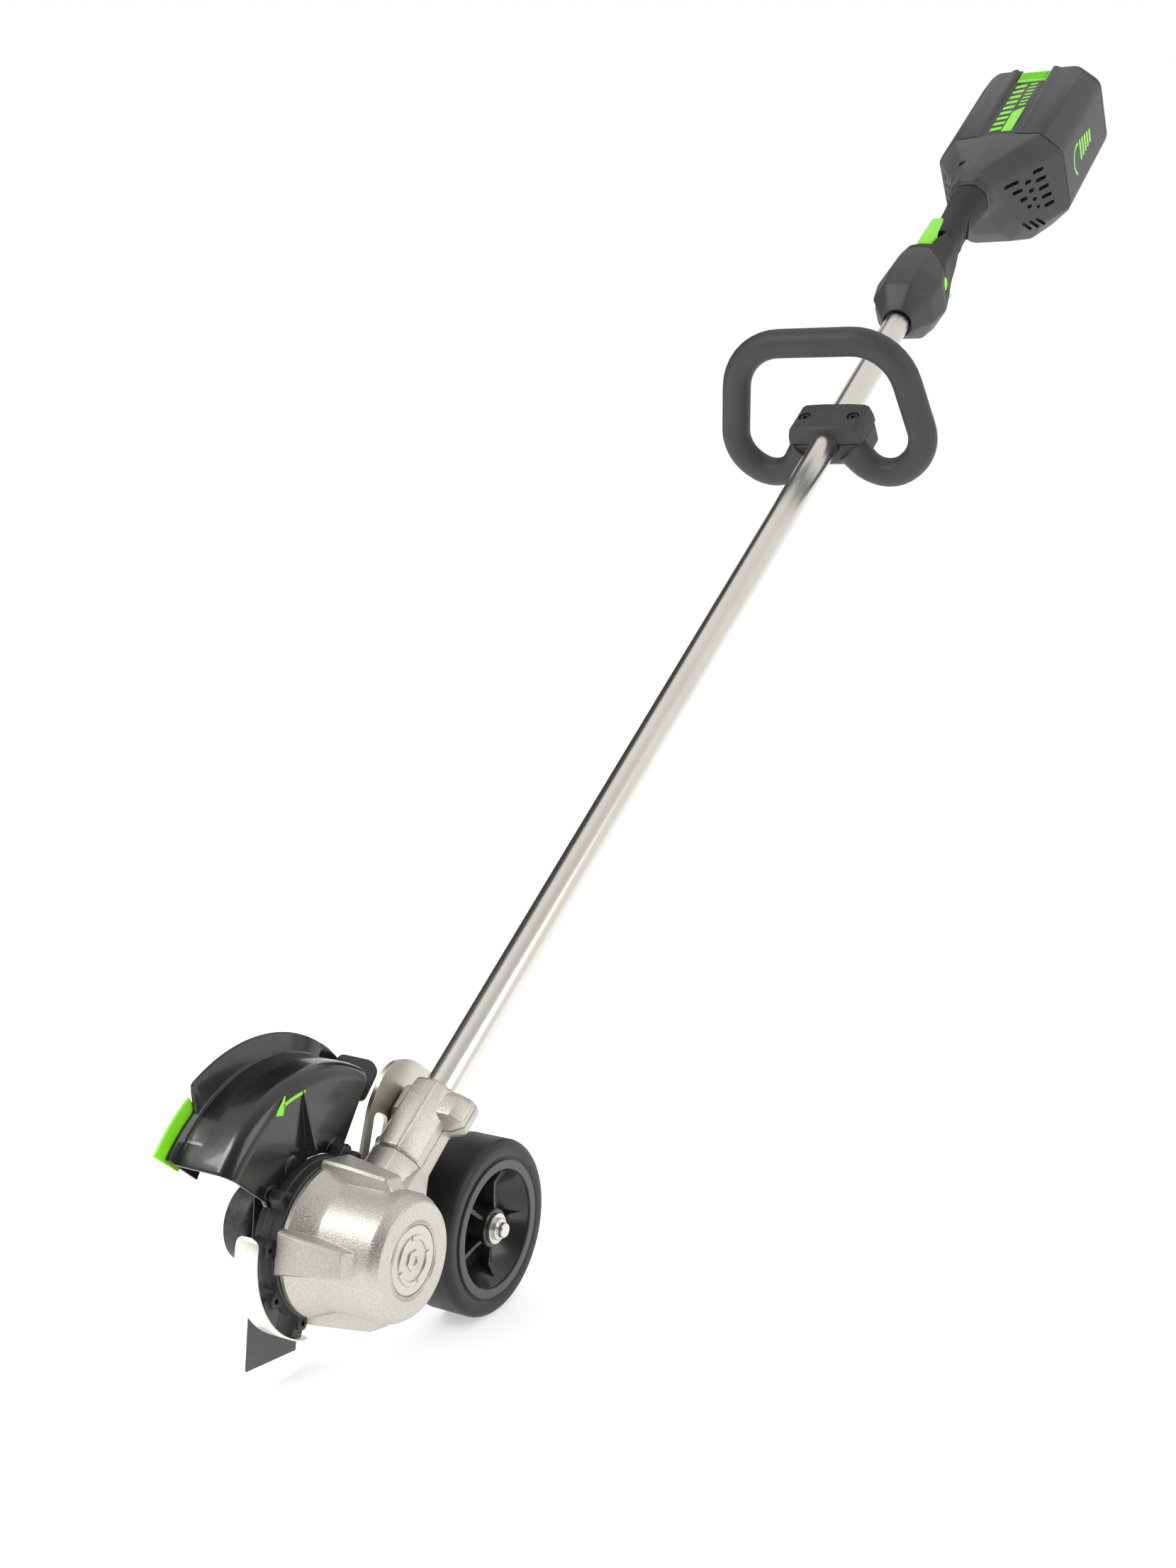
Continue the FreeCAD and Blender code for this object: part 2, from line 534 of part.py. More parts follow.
def hood(name, radius, fin_top, start, stop):
    """A stretch of the hood: side wall, rounded shoulder, top and far fin, turned between two angles."""
    soft = dim.guard_round
    inner = radius - dim.guard_wall
    profile = [
        (foot_r, guard_side_in), (foot_r, guard_side_out), (radius - soft, guard_side_out),
        (radius - soft * 0.3, guard_side_out - soft * 0.3), (radius, guard_side_out - soft),
        (radius, fin_in), (fin_top, fin_in), (fin_top, fin_out), (inner - dim.fin_drop, fin_out),
        (inner - dim.fin_drop, fin_in), (inner, fin_in), (inner, guard_side_in - soft),
        (inner - soft * 0.3, guard_side_in - soft * 0.3), (inner - soft, guard_side_in)]
    return turned_to(revolved(name, profile, float(stop) - float(start)), start)


def sector(name, r_in, r_out, x_from, x_to, start, stop):
    """A plain stretch of a ring round the spindle."""
    ring = revolved(name, [(r_in, x_from), (r_out, x_from), (r_out, x_to), (r_in, x_to)],
                    float(stop) - float(start))
    return turned_to(ring, start)


fin_top = dim.guard_r + dim.fin_rise
guard_parts = [
    hood("hood_rear", dim.guard_r, fin_top, dim.guard_back, dim.guard_step),
    hood("hood_front", dim.guard_front_r, dim.guard_front_r + dim.fin_rise * 0.6, dim.guard_step,
         dim.guard_front),
    sector("hood_step", dim.guard_front_r - dim.guard_wall, dim.guard_r, fin_in,
           guard_side_out - dim.guard_round,
           dim.guard_step - 0.7, dim.guard_step + 0.7),
    sector("hood_back_side", foot_r, dim.guard_r - 1, guard_side_in - 20, guard_side_in + 1, dim.guard_back,
           dim.guard_back + 1.6),
    sector("hood_back_top", blade_sweep, dim.guard_r - 1, fin_out, guard_side_in, dim.guard_back,
           dim.guard_back + 1.6),
    sector("fin_tail", dim.guard_r - dim.fin_drop * 2, fin_top + 2, fin_out, fin_in, dim.fin_back,
           dim.guard_back),
    sector("guard_foot", foot_r, dim.lug_circle + dim.lug_od / 2, guard_side_in, guard_side_out, 43, 141),
]
guard_rib = block("guard_rib", (foot_r + 16, -1.2, guard_side_out - 1),
                  (dim.guard_r + 3, 1.2, guard_side_out + 4))
guard_parts.append(turned_to(guard_rib, 92))
guard_holes = [turned_to(rod(f"guard_hole_{i}", dim.screw_od / 2, 20, (0, 0, guard_side_in - 8)), angle,
                         dim.lug_circle)
               for i, angle in enumerate(LUG_ANGLES)]
SIGHT_RIVETS = [125.0, 135.0]
sight_rivet_r = dim.guard_front_r - 2
fin_holes = [turned_to(rod(f"fin_hole_{i}", 1.6, 12, (0, 0, fin_out - 6)), angle, sight_rivet_r)
             for i, angle in enumerate(SIGHT_RIVETS)]
node(less("guard", joined("guard_solid", *guard_parts), *guard_holes, *fin_holes), "blade_guard", SPINDLE)
node(grouped("guard_screw_group", [
    turned_to(screw(f"guard_screw_{i}", (0, 0, lug_to), dim.screw_od * 0.85, dim.screw_od * 0.7,
                    dim.screw_od / 2, lug_to - guard_side_in), angle, dim.lug_circle)
    for i, angle in enumerate(LUG_ANGLES)]), "guard_screws", SPINDLE)

sight = sector("sight", dim.sight_r - dim.sight_deep, dim.sight_r, fin_out - dim.sight_thick, fin_out,
               dim.guard_step + 0.5, dim.guard_front + 1.5)
sight_holes = [turned_to(rod(f"sight_hole_{i}", 1.6, 12, (0, 0, fin_out - 8)), angle, sight_rivet_r)
               for i, angle in enumerate(SIGHT_RIVETS)]
node(less("sight_cut", sight, *sight_holes), "sight_plate", SPINDLE)
node(grouped("sight_rivet_group", [
    turned_to(screw(f"sight_rivet_{i}", (0, 0, fin_out - dim.sight_thick), 3.0, 1.2, 1.6,
                    dim.sight_thick + dim.guard_wall, "-z"), angle, sight_rivet_r)
    for i, angle in enumerate(SIGHT_RIVETS)]), "sight_rivets", SPINDLE)

flap = block("flap", (blade_sweep, -dim.flap_thick, fin_in + dim.gap),
             (dim.flap_reach, 0.0, dim.bracket_x - 2))
turned_to(flap, dim.guard_back)
node(grouped("flap_piece", [flap]), "debris_flap", SPINDLE)

# ---------------------------------------------------------------- spindle, blade and its clamping stack
nut_from = -blade_half - dim.cup_base - dim.nut_high
tail_from = rear_bearing_at - 1
spindle = revolved("spindle_bar", [
    (0, nut_from - 3), (tail_r, nut_from - 3), (tail_r, -blade_half), (spindle_r, -blade_half),
    (spindle_r, tail_from), (tail_r, tail_from), (tail_r, rear_bearing_at + dim.rear_bearing_wide - 1),
    (0, rear_bearing_at + dim.rear_bearing_wide - 1)])
node(spindle, "spindle", SPINDLE)
pilot_r = spindle_r + 6.7
node(revolved("seat", [
    (spindle_r, -blade_half), (pilot_r, -blade_half), (pilot_r, blade_half),
    (dim.seat_od / 2, blade_half), (dim.seat_od / 2, blade_half + dim.seat_thick),
    (spindle_r, blade_half + dim.seat_thick)]), "blade_seat", SPINDLE)
blade_plate = padded("blade_plate", [
    (dim.blade_width / -2, dim.blade_length / -2), (dim.blade_width / 2, dim.blade_length / -2),
    (dim.blade_width / 2, dim.blade_length / 2), (dim.blade_width / -2, dim.blade_length / 2)],
    -blade_half, blade_half, dim.blade_thick / 4)
blade_bore = rod("blade_bore", pilot_r, 20, (0, 0, -10))
BLADE_REST = -7.1
blade = less("blade_cut", blade_plate, blade_bore)
node(blade, "edger_blade", SPINDLE * Placement(Vector(), Rotation(Vector(0, 0, 1), BLADE_REST)))
cup_r = dim.cup_od / 2
cup_floor = -blade_half - dim.cup_base
node(revolved("cup", [
    (tail_r, -blade_half), (tail_r, cup_floor), (cup_r - dim.cup_wall, cup_floor),
    (cup_r - dim.cup_wall - 2, -blade_half - dim.cup_deep), (cup_r - 2, -blade_half - dim.cup_deep),
    (cup_r, cup_floor - 6), (cup_r, cup_floor), (cup_r - 4, -blade_half)]), "wear_cup", SPINDLE)
nut_hole = rod("nut_hole", tail_r, 40, (0, 0, nut_from - 10))
node(less("nut_cut", hexagon("nut_blank", dim.nut_flats, dim.nut_high, (0, 0, nut_from)), nut_hole),
     "blade_nut",
     SPINDLE)
core_r = dim.rotor_od / 2 - dim.magnet_thick
MAGNETS = 8
node(revolved("core", [(spindle_r, dim.stator_from), (core_r, dim.stator_from), (core_r, stator_to),
                       (spindle_r, stator_to)]), "rotor_core", SPINDLE)
node(grouped("magnet_group", [
    sector(f"magnet_{i}", core_r, dim.rotor_od / 2, dim.stator_from, stator_to, i * 45 + 2, i * 45 + 43)
    for i in range(MAGNETS)]), "rotor_magnets", SPINDLE)

# ---------------------------------------------------------------- wheel bracket
BRACKET_OUTLINE = [
    (60, 26), (79, 78), (94, 96), (112, 99), (130, 92), (160, 75), (188, 45), (204, 25), (211, 5),
    (206, -34), (189, -66), (176, -80), (163, -84), (150, -80), (137, -66), (126, -34), (108, -12),
    (84, -4), (66, 8)]
bracket = padded("bracket_plate", [(float(y), float(z)) for y, z in BRACKET_OUTLINE], dim.bracket_x,
                 bracket_face)
window = padded("bracket_window", [(72.0, 30.0), (89.0, 34.0), (97.0, 60.0), (80.0, 68.0)],
                dim.bracket_x - 5,
                bracket_face + 5, 6.0)
gap_window = padded("bracket_gap", [(138.0, -6.0), (194.0, -8.0), (196.0, 10.0), (176.0, 24.0),
                                    (146.0, 22.0)],
                    dim.bracket_x - 5, bracket_face + 5, 6.0)
slot_half = dim.axle_od / 2 + dim.play / 2
slot_low = dim.wheel_z - dim.wheel_drop
slot_high = dim.wheel_z + dim.wheel_lift
slot_box = block("slot_box", (dim.wheel_y - slot_half, slot_low, dim.bracket_x - 5),
                 (dim.wheel_y + slot_half, slot_high, bracket_face + 5))
slot_ends = [rod(f"slot_end_{i}", slot_half, 20, (dim.wheel_y, z, dim.bracket_x - 5))
             for i, z in enumerate([slot_low, slot_high])]
bolt_ways = [leaning(rod(f"bolt_way_{i}", bracket_bolt_r, 30, (dim.bracket_x - dim.shaft_x - 10, along,
                                                               across), "x"))
             for i, (along, across) in enumerate(BRACKET_BOLTS)]
node(less("bracket_cut", bracket, window, gap_window, slot_box, *slot_ends, *bolt_ways), "wheel_bracket",
     SPINDLE)
bracket_bolt_long = dim.bracket_thick + 10
bracket_bolts = grouped("bracket_bolt_group", [
    leaning(screw(f"bracket_bolt_{i}", (dim.bracket_x - dim.shaft_x, along, across), 4.5, 4.5,
                  bracket_bolt_r,
                  bracket_bolt_long, "-x")) for i, (along, across) in enumerate(BRACKET_BOLTS)])
node(bracket_bolts, "bracket_bolts", SPINDLE)

# ---------------------------------------------------------------- wheel, tyre, bushes and axle
wheel_out_x = dim.wheel_in_x + dim.tyre_wide
hub_from = dim.wheel_in_x + dim.gap
hub_to = wheel_out_x - 3
tyre_r = dim.tyre_od / 2
rim_r = dim.rim_od / 2
axle_r = dim.axle_od / 2
bush_r = axle_r + dim.slip + dim.bush_wall
node(revolved("tyre_ring", [
    (rim_r, dim.wheel_in_x + 2), (tyre_r - 5, dim.wheel_in_x), (tyre_r - 1.5, dim.wheel_in_x + 2.5),
    (tyre_r, dim.wheel_in_x + 8), (tyre_r, wheel_out_x - 8), (tyre_r - 1.5, wheel_out_x - 2.5),
    (tyre_r - 5, wheel_out_x), (rim_r, wheel_out_x - 1)]), "wheel_tyre", WHEEL)
web_from = dim.wheel_in_x + 15
web_to = web_from + dim.web_thick
well_r = rim_r - dim.rim_wall
rim = revolved("rim_shell", [
    (bush_r, hub_from), (dim.hub_od / 2, hub_from), (dim.hub_od / 2, web_from), (well_r, web_from),
    (well_r, dim.wheel_in_x + 2), (rim_r, dim.wheel_in_x + 2), (rim_r, wheel_out_x),
    (dim.rim_lip_id / 2, wheel_out_x),
    (dim.rim_lip_id / 2, wheel_out_x - 6), (well_r - 3, web_to), (dim.hub_od / 2, web_to),
    (dim.hub_od / 2, hub_to),
    (bush_r, hub_to)])
spokes = []
for i in range(5):
    spoke = block(f"spoke_{i}", (dim.hub_od / 2 - 1, -2.0, web_from - 8), (well_r - 2, 2.0, web_to + 9))
    spokes.append(turned_to(spoke, 90 + i * 72))
node(joined("rim_solid", rim, *spokes), "wheel_rim", WHEEL)
bush_long = 10.0
node(grouped("bush_pair", [
    revolved(f"bush_{i}", [(axle_r + dim.slip, start), (bush_r, start), (bush_r, start + bush_long),
                           (axle_r + dim.slip, start + bush_long)])
    for i, start in enumerate([hub_from, hub_to - bush_long])]), "wheel_bushes", WHEEL)
washer_at = hub_to + dim.gap
head_at = washer_at + 2
node(joined("axle", rod("axle_shank", axle_r, head_at - dim.bracket_x + 14, (0, 0, dim.bracket_x - 14)),
            hexagon("axle_head", dim.axle_nut_flats, 7.0, (0, 0, head_at))), "wheel_axle", WHEEL)


def washer(name, bore_r, outer_r, at, thick):
    return revolved(name, [(bore_r, at), (outer_r, at), (outer_r, at + thick), (bore_r, at + thick)])


node(grouped("axle_washer_pair", [
    washer("outer_washer", axle_r, 12.0, washer_at, 2.0),
    washer("inner_washer", axle_r, 12.0, dim.bracket_x - 2, 2.0)]), "axle_washers", WHEEL)
node(washer("spacer", axle_r, 10.0, bracket_face, hub_from - dim.gap - bracket_face), "axle_spacer", WHEEL)
nut_blank = hexagon("axle_nut_blank", dim.axle_nut_flats, 9.0, (0, 0, dim.bracket_x - 11))
node(less("axle_nut_cut", nut_blank, rod("axle_nut_hole", axle_r, 40, (0, 0, dim.bracket_x - 20))),
     "axle_nut", WHEEL)

# ---------------------------------------------------------------- loop handle, clamp cap and its bolts
def rounded_path(points, radii):
    """Straight runs joined by tangent arcs, as one wire."""
    edges = []
    start = points[0]
    for before, corner, after, radius in zip(points, points[1:], points[2:], radii):
        back = (before - corner).normalize()
        ahead = (after - corner).normalize()
        half_angle = back.getAngle(ahead) / 2
        reach = radius / math.tan(half_angle)
        leave = corner + back * reach
        join = corner + ahead * reach
        middle = (back + ahead).normalize()
        bend = corner + middle * (radius / math.sin(half_angle) - radius)
        edges += [Part.LineSegment(start, leave).toShape(), Part.Arc(leave, bend, join).toShape()]
        start = join
    edges.append(Part.LineSegment(start, points[-1]).toShape())
    return Part.Wire(edges)


LOOP_BENDS = (36.0, 40.0, 56.0)


def loop_arm(side):
    """Half of the loop: out of the clamp's flank, round below, up the side and over the top bar."""
    half = float(dim.loop_half)
    top = float(dim.loop_top)
    low = float(dim.loop_bottom)
    points = [Vector(side * x, 0, z) for x, z in (
        (float(dim.clamp_half) - 14, -10.0), (half * 0.54, -low), (half, -low * 0.2),
        (float(dim.loop_shoulder), top), (0.0, top))]
    path = rounded_path(points, LOOP_BENDS)
    start = points[0]
    circle = Part.Circle(start, points[1] - points[0], float(dim.loop_bar_od) / 2).toShape()
    return path.makePipeShell([Part.Wire(circle)], True, True)


lean_back = Placement(Vector(0, float(dim.handle_along - dim.loop_back), 0),
                      Rotation(Vector(1, 0, 0), -dim.loop_lean.number))
loop = shaped("loop_bar", loop_arm(1).fuse(loop_arm(-1)))
loop.Placement = lean_back
clamp_from = dim.handle_along - dim.clamp_long / 2
clamp_to = dim.handle_along + dim.clamp_long / 2
lower_jaw = block("lower_jaw", (-dim.clamp_half, clamp_from, -dim.clamp_low),
                  (dim.clamp_half, clamp_to, 0.0))
jaw_room = block("jaw_room", (-dim.clamp_half - 1, clamp_from - 5, 0.0),
                 (dim.clamp_half + 1, clamp_to + 5, dim.clamp_high + 1))
handle_bore = rod("handle_bore", tube_r + dim.slip, dim.clamp_long + 60, (0, clamp_from - 30, 0), "y")
bolt_r = dim.clamp_bolt_od / 2
jaw_holes = [rod(f"jaw_hole_{side}", bolt_r, 80, (dim.clamp_bolt_at * side, dim.handle_along, -60))
             for side in (-1, 1)]
nut_pocket_at = -dim.clamp_low - 1
nut_pockets = [hexagon(f"nut_pocket_{side}", 10.0, 6.0, (dim.clamp_bolt_at * side, dim.handle_along,
                                                         nut_pocket_at))
               for side in (-1, 1)]
node(less("loop_cut", joined("loop_solid", loop, lower_jaw), jaw_room, handle_bore, *jaw_holes,
          *nut_pockets),
     "loop_handle", SHAFT)
slope = 4.0
cap_block = padded("cap_block", [
    (-dim.clamp_half, dim.gap), (dim.clamp_half, dim.gap), (dim.clamp_half - slope, dim.clamp_high - 3),
    (dim.clamp_half - slope - 3, dim.clamp_high), (slope + 3 - dim.clamp_half, dim.clamp_high),
    (slope - dim.clamp_half, dim.clamp_high - 3)], -clamp_to, -clamp_from)
cap_block.Placement = Placement(Vector(), Rotation(Vector(1, 0, 0), 90))
cap_bore = rod("cap_tube_way", tube_r + dim.slip, dim.clamp_long + 60, (0, clamp_from - 30, 0), "y")
counter_deep = dim.clamp_bolt_od + 1
cap_ways = [rod(f"cap_way_{side}", bolt_r, 80, (dim.clamp_bolt_at * side, dim.handle_along, -40))
            for side in (-1, 1)]
counters = [rod(f"counter_{side}", dim.clamp_bolt_od * 0.9, 20,
                (dim.clamp_bolt_at * side, dim.handle_along, dim.clamp_high - counter_deep)) for side in (-1, 1)]
node(less("cap_cut", cap_block, cap_bore, *cap_ways, *counters), "handle_clamp_cap", SHAFT)
clamp_bolt_long = dim.clamp_high - counter_deep + dim.clamp_low
node(grouped("clamp_bolts", [
    screw(f"clamp_bolt_{side}", (dim.clamp_bolt_at * side, dim.handle_along, dim.clamp_high - counter_deep),
          dim.clamp_bolt_od * 0.82, dim.clamp_bolt_od * 0.8, bolt_r, clamp_bolt_long) for side in (-1, 1)]),
    "handle_bolts", SHAFT)
nuts = []
for side in (-1, 1):
    nut_at = (dim.clamp_bolt_at * side, dim.handle_along, -dim.clamp_low)
    nuts.append(less(f"handle_nut_{side}", hexagon(f"handle_nut_blank_{side}", 9.8, 4.8, nut_at),
                     rod(f"handle_nut_hole_{side}", bolt_r, 40, (nut_at[0], nut_at[1], -60))))
node(grouped("handle_nut_pair", nuts), "handle_nuts", SHAFT)

# ---------------------------------------------------------------- rear shells: fore housing, grip core, bell
fore_from = tube_to - 72
grip_from = fore_from + dim.fore_nose + dim.fore_long + dim.fore_tail
grip_to = grip_from + dim.grip_long
collar_to = grip_to + dim.collar_long
bay_from = collar_to + dim.bell_long
bay_to = bay_from + dim.bay_long
core_half = dim.grip_od / 2 - dim.grip_wall


def octagon(half, high, low, across=0.45, upright=0.4):
    """Eight corners of a housing section with flats at the top, the bottom and both sides."""
    half, high, low = float(half), float(high), float(low)
    return [(half * across, high), (half, high * upright), (half, low * upright), (half * across, low),
            (-half * across, low), (-half, low * upright), (-half, high * upright), (-half * across, high)]


def bay_outline(inset=0.0):
    """The battery bay's eight-sided section, taken in all round by an inset."""
    inset = float(inset)
    half, top_half, low_half = (float(v) - inset for v in (dim.bay_half, dim.bay_top_half, dim.bay_low_half))
    high, side_high = float(dim.bay_high) - inset, float(dim.bay_side_high) - inset * 0.5
    side_low, low = float(dim.bay_side_low) + inset * 0.5, float(dim.bay_low) + inset
    return [(top_half, high), (half, side_high), (half, side_low), (low_half, low),
            (-low_half, low), (-half, side_low), (-half, side_high), (-top_half, high)]


def lofted(sections):
    """A ruled solid through sections given as (place along the shaft, corners)."""
    wires = []
    for along, corners in sections:
        points = [Vector(x, float(along), z) for x, z in corners]
        wires.append(Part.makePolygon(points + points[:1]))
    return Part.makeLoft(wires, True, True)


# The bell drops steeply behind the collar: right-hand corners from the top down, for each place behind it.
BELLY = [
    (14.0, [(17.6, 25.2), (33.6, 8.8), (33.6, -42.0), (16.6, -64.0)]),
    (30.0, [(24.2, 24.4), (42.0, 6.2), (43.0, -64.0), (24.0, -84.0)]),
    (58.0, [(36.0, 22.8), (56.8, 1.9), (60.0, -76.0), (40.0, -97.5)])]


def belly(corners, inset):
    """A whole section from its right-hand corners, taken in by an inset."""
    right = [(x - inset, n - inset if n > 0 else n + inset) for x, n in corners]
    return right + [(-x, n) for x, n in reversed(right)]


def rear_sections(inset):
    """Sections of the long rear shells from the nose to the bay, taken in by an inset."""
    nose, half, high, low = (float(v) - inset for v in (dim.nose_half, dim.fore_half, dim.fore_high,
                                                        dim.fore_low))
    core, collar = float(core_half) - inset, float(dim.collar_od) / 2 - inset
    return [
        (fore_from, octagon(nose, nose, -nose, 0.5, 0.5)),
        (fore_from + dim.fore_brow, octagon(half - 4, high - 3, -low + 4, 0.48)),
        (fore_from + dim.fore_nose, octagon(half, high, -low)),
        (fore_from + dim.fore_nose + dim.fore_long, octagon(half - 12, high, -low + 4, 0.5, 0.5)),
        (grip_from - dim.fore_neck, octagon(core + 7, core + 14, -core - 13, 0.5, 0.5)),
        (grip_from, octagon(core + 5, core + 5, -core - 5, 0.5, 0.5)),
    ], [
        (grip_to, octagon(collar - 2, collar - 2, 2 - collar, 0.42, 0.42)),
        (collar_to, octagon(collar, collar, -collar, 0.42, 0.42)),
        *[(collar_to + along, belly(corners, inset)) for along, corners in BELLY],
        (bay_from, bay_outline(inset)),
    ]


def core_tube(radius):
    return Part.makeCylinder(float(radius), float(grip_to - grip_from) + 4,
                             Vector(0, float(grip_from) - 2, 0),
                             Vector(0, 1, 0))


wall = float(dim.shell_wall)
fore_out, bell_out = (lofted(part) for part in rear_sections(0.0))
fore_in, bell_in = (lofted(part) for part in rear_sections(wall))
whole_out = fore_out.fuse(bell_out).fuse(core_tube(core_half))
whole_in = fore_in.fuse(bell_in).fuse(core_tube(core_half - wall))
fore_end = octagon(core_half + 5, core_half + 5, -(core_half + 5), 0.5, 0.5)
bell_end = octagon(dim.collar_od / 2 - 2, dim.collar_od / 2 - 2, -(dim.collar_od / 2 - 2), 0.42, 0.42)
end_plates = [lofted([(grip_from - wall, fore_end), (grip_from, fore_end)]),
              lofted([(grip_to, bell_end), (grip_to + wall, bell_end)])]
tube_way = Part.makeCylinder(float(tube_r), 90, Vector(0, float(fore_from) - 1, 0), Vector(0, 1, 0))
tube_boss = Part.makeCylinder(float(tube_r) + wall, 71, Vector(0, float(fore_from) + 1, 0), Vector(0, 1, 0))
trigger_half = float(dim.trigger_wide) / 2 + float(dim.play)
trigger_slot = Part.makeBox(trigger_half * 2, 46, 40, Vector(-trigger_half, float(grip_from) - 44, -52))
lever_half = float(dim.lever_wide) / 2 + float(dim.play)
lever_slot = Part.makeBox(lever_half * 2, 34, 30, Vector(-lever_half, float(grip_from) - 34, 15))
button_r = float(dim.button_od) / 2
BUTTON_DEEP = 9.0
button_at = (float(fore_from) + 68.0, 5.0)
button_way = Part.makeCylinder(button_r + float(dim.play), 60, Vector(16, button_at[0], button_at[1]),
                               Vector(1, 0, 0))
shells = whole_out.cut(whole_in)
for plate in end_plates:
    shells = shells.fuse(plate.common(whole_out))
shells = shells.cut(Part.makeCylinder(float(core_half) - wall, float(dim.grip_long) + 20,
                                      Vector(0, float(grip_from) - 10, 0), Vector(0, 1, 0)))
shells = shells.fuse(tube_boss).cut(tube_way).cut(trigger_slot).cut(lever_slot).cut(button_way)
reach = 400.0
half_space = Part.makeBox(reach, 3 * reach, 2 * reach, Vector(float(dim.slip) / 2, float(fore_from) - 10,
                                                              -reach))
other_half = half_space.mirror(Vector(), Vector(1, 0, 0))
SHELL_SCREWS = [(float(fore_from) + 40, 24.0), (float(grip_from) - 54, -26.0), (float(collar_to) + 26, 14.0),
                (float(bay_from) - 22, -66.0)]
trigger_pin_at = (float(grip_from) - 34, -20.0)
lever_pin_at = (float(grip_from) - 22, 14.0)
pin_r = 2.5
screw_head_in = 12.0
full = 200.0


def cross_bar(radius, start, end, place):
    """A round bar across the shells between two distances from the middle plane."""
    return Part.makeCylinder(radius, end - start, Vector(start, place[0], place[1]), Vector(1, 0, 0))


for place in SHELL_SCREWS:
    shells = shells.fuse(cross_bar(4.5, -full, full, place).common(whole_out))
    shells = shells.cut(cross_bar(1.7, -20, 12, place)).cut(cross_bar(3.4, -full, -screw_head_in, place))
for place, half in ((trigger_pin_at, trigger_half), (lever_pin_at, lever_half)):
    for start, end in ((-full, -half), (half, full)):
        shells = shells.fuse(cross_bar(5.0, start, end, place).common(whole_out))
    shells = shells.cut(cross_bar(pin_r, -half - 6, half + 6, place))
shells = shells.cut(button_way)
node(shaped("shell_right", shells.common(half_space)), "grip_shell_right", SHAFT)
node(shaped("shell_left", shells.common(other_half)), "grip_shell_left", SHAFT)
node(grouped("shell_screw_group", [
    screw(f"shell_screw_{i}", (-screw_head_in, along, across), 3.0, 2.4, 1.7, 22, "-x")
    for i, (along, across) in enumerate(SHELL_SCREWS)]), "shell_screws", SHAFT)

sleeve_r = dim.grip_od / 2
sleeve_from = grip_from + 8
sleeve = revolved("sleeve", [
    (core_half, sleeve_from), (sleeve_r - 1, sleeve_from), (sleeve_r, sleeve_from + 4),
    (sleeve_r - 1.5, sleeve_from + dim.grip_long / 2), (sleeve_r + 1, grip_to - 10),
    (sleeve_r + 2, grip_to - 1),
    (core_half, grip_to - 1)])
node(sleeve, "grip_sleeve", UP_SHAFT)

# ---------------------------------------------------------------- battery bay and its contents
bay_wall = float(dim.shell_wall)
pack_inset = bay_wall + float(dim.play)
bay_lip = 10.0
bay_cut_from = float(bay_from) + bay_lip
bay_outer = lofted([(bay_from + 0.2, bay_outline()), (bay_to, bay_outline())])
for side in (-1, 1):
    low_x = float(dim.ridge_half)
    high_x = low_x + float(dim.ridge_wide)
    ridge = Part.makeBox(high_x - low_x, float(dim.bay_long) - 4, float(dim.ridge_high) + 4,
                         Vector(low_x if side > 0 else -high_x, float(bay_from) + 4,
                                float(dim.bay_high) - 4))
    bay_outer = bay_outer.fuse(ridge)
bay_inner = lofted([(bay_cut_from, bay_outline(bay_wall)), (bay_to + 2, bay_outline(bay_wall))])
bell_side = lofted([(bay_from - 1, bay_outline(bay_wall * 2)),
                    (bay_from + bay_lip - 3, bay_outline(bay_wall * 2))])
notch_half = float(dim.latch_half) + float(dim.play)
latch_notch = Part.makeBox(notch_half * 2, float(dim.latch_long), 30,
                           Vector(-notch_half, float(bay_to - dim.latch_long) + 0.1,
                                  float(dim.bay_high) - 8))
TERMINALS = (-15.0, -5.0, 5.0, 15.0)
terminal_way = Part.makeBox(44, 12, 10, Vector(-22, bay_cut_from - 6, -46))
node(shaped("bay", bay_outer.cut(bay_inner).cut(bell_side).cut(latch_notch).cut(terminal_way)),
     "battery_bay", SHAFT)
node(grouped("terminal_blades", [
    block(f"terminal_{i}", (x, bay_cut_from - 12, -44.0), (x + 1.2, bay_cut_from + 14, -38.0))
    for i, x in enumerate(TERMINALS)]), "bay_terminals", SHAFT)
board_to = bay_from - 6
board_long = 52.0
board_from = board_to - board_long
node(grouped("board_piece", [block("board", (-38.0, board_from, -44.0), (38.0, board_to, -42.4))]),
     "control_board",
     SHAFT)
fins = [block(f"fin_{i}", (-30.0 + i * 8, board_from + 6, -38.4), (-28.0 + i * 8, board_to - 6, -24.0))
        for i in range(8)]
sink_base = block("sink_base", (-30.0, board_from + 6, -42.4), (28.0, board_to - 6, -38.4))
node(joined("sink", sink_base, *fins), "board_heat_sink", SHAFT)
switch_at = grip_from - 66
switch_long = 28.0
switch_box = block("switch_box", (-9.0, switch_at, -12.0), (9.0, switch_at + switch_long, 8.0))
plunger = rod("switch_plunger", 2.5, 5.0, (0.0, switch_at + 20, -16.9))
node(joined("switch_solid", switch_box, plunger), "trigger_switch", SHAFT)
lead = rod("lead", 3.0, board_from - switch_at - 24, (0, switch_at + switch_long, 0), "y")
node(grouped("lead_run", [lead]), "control_lead", SHAFT)

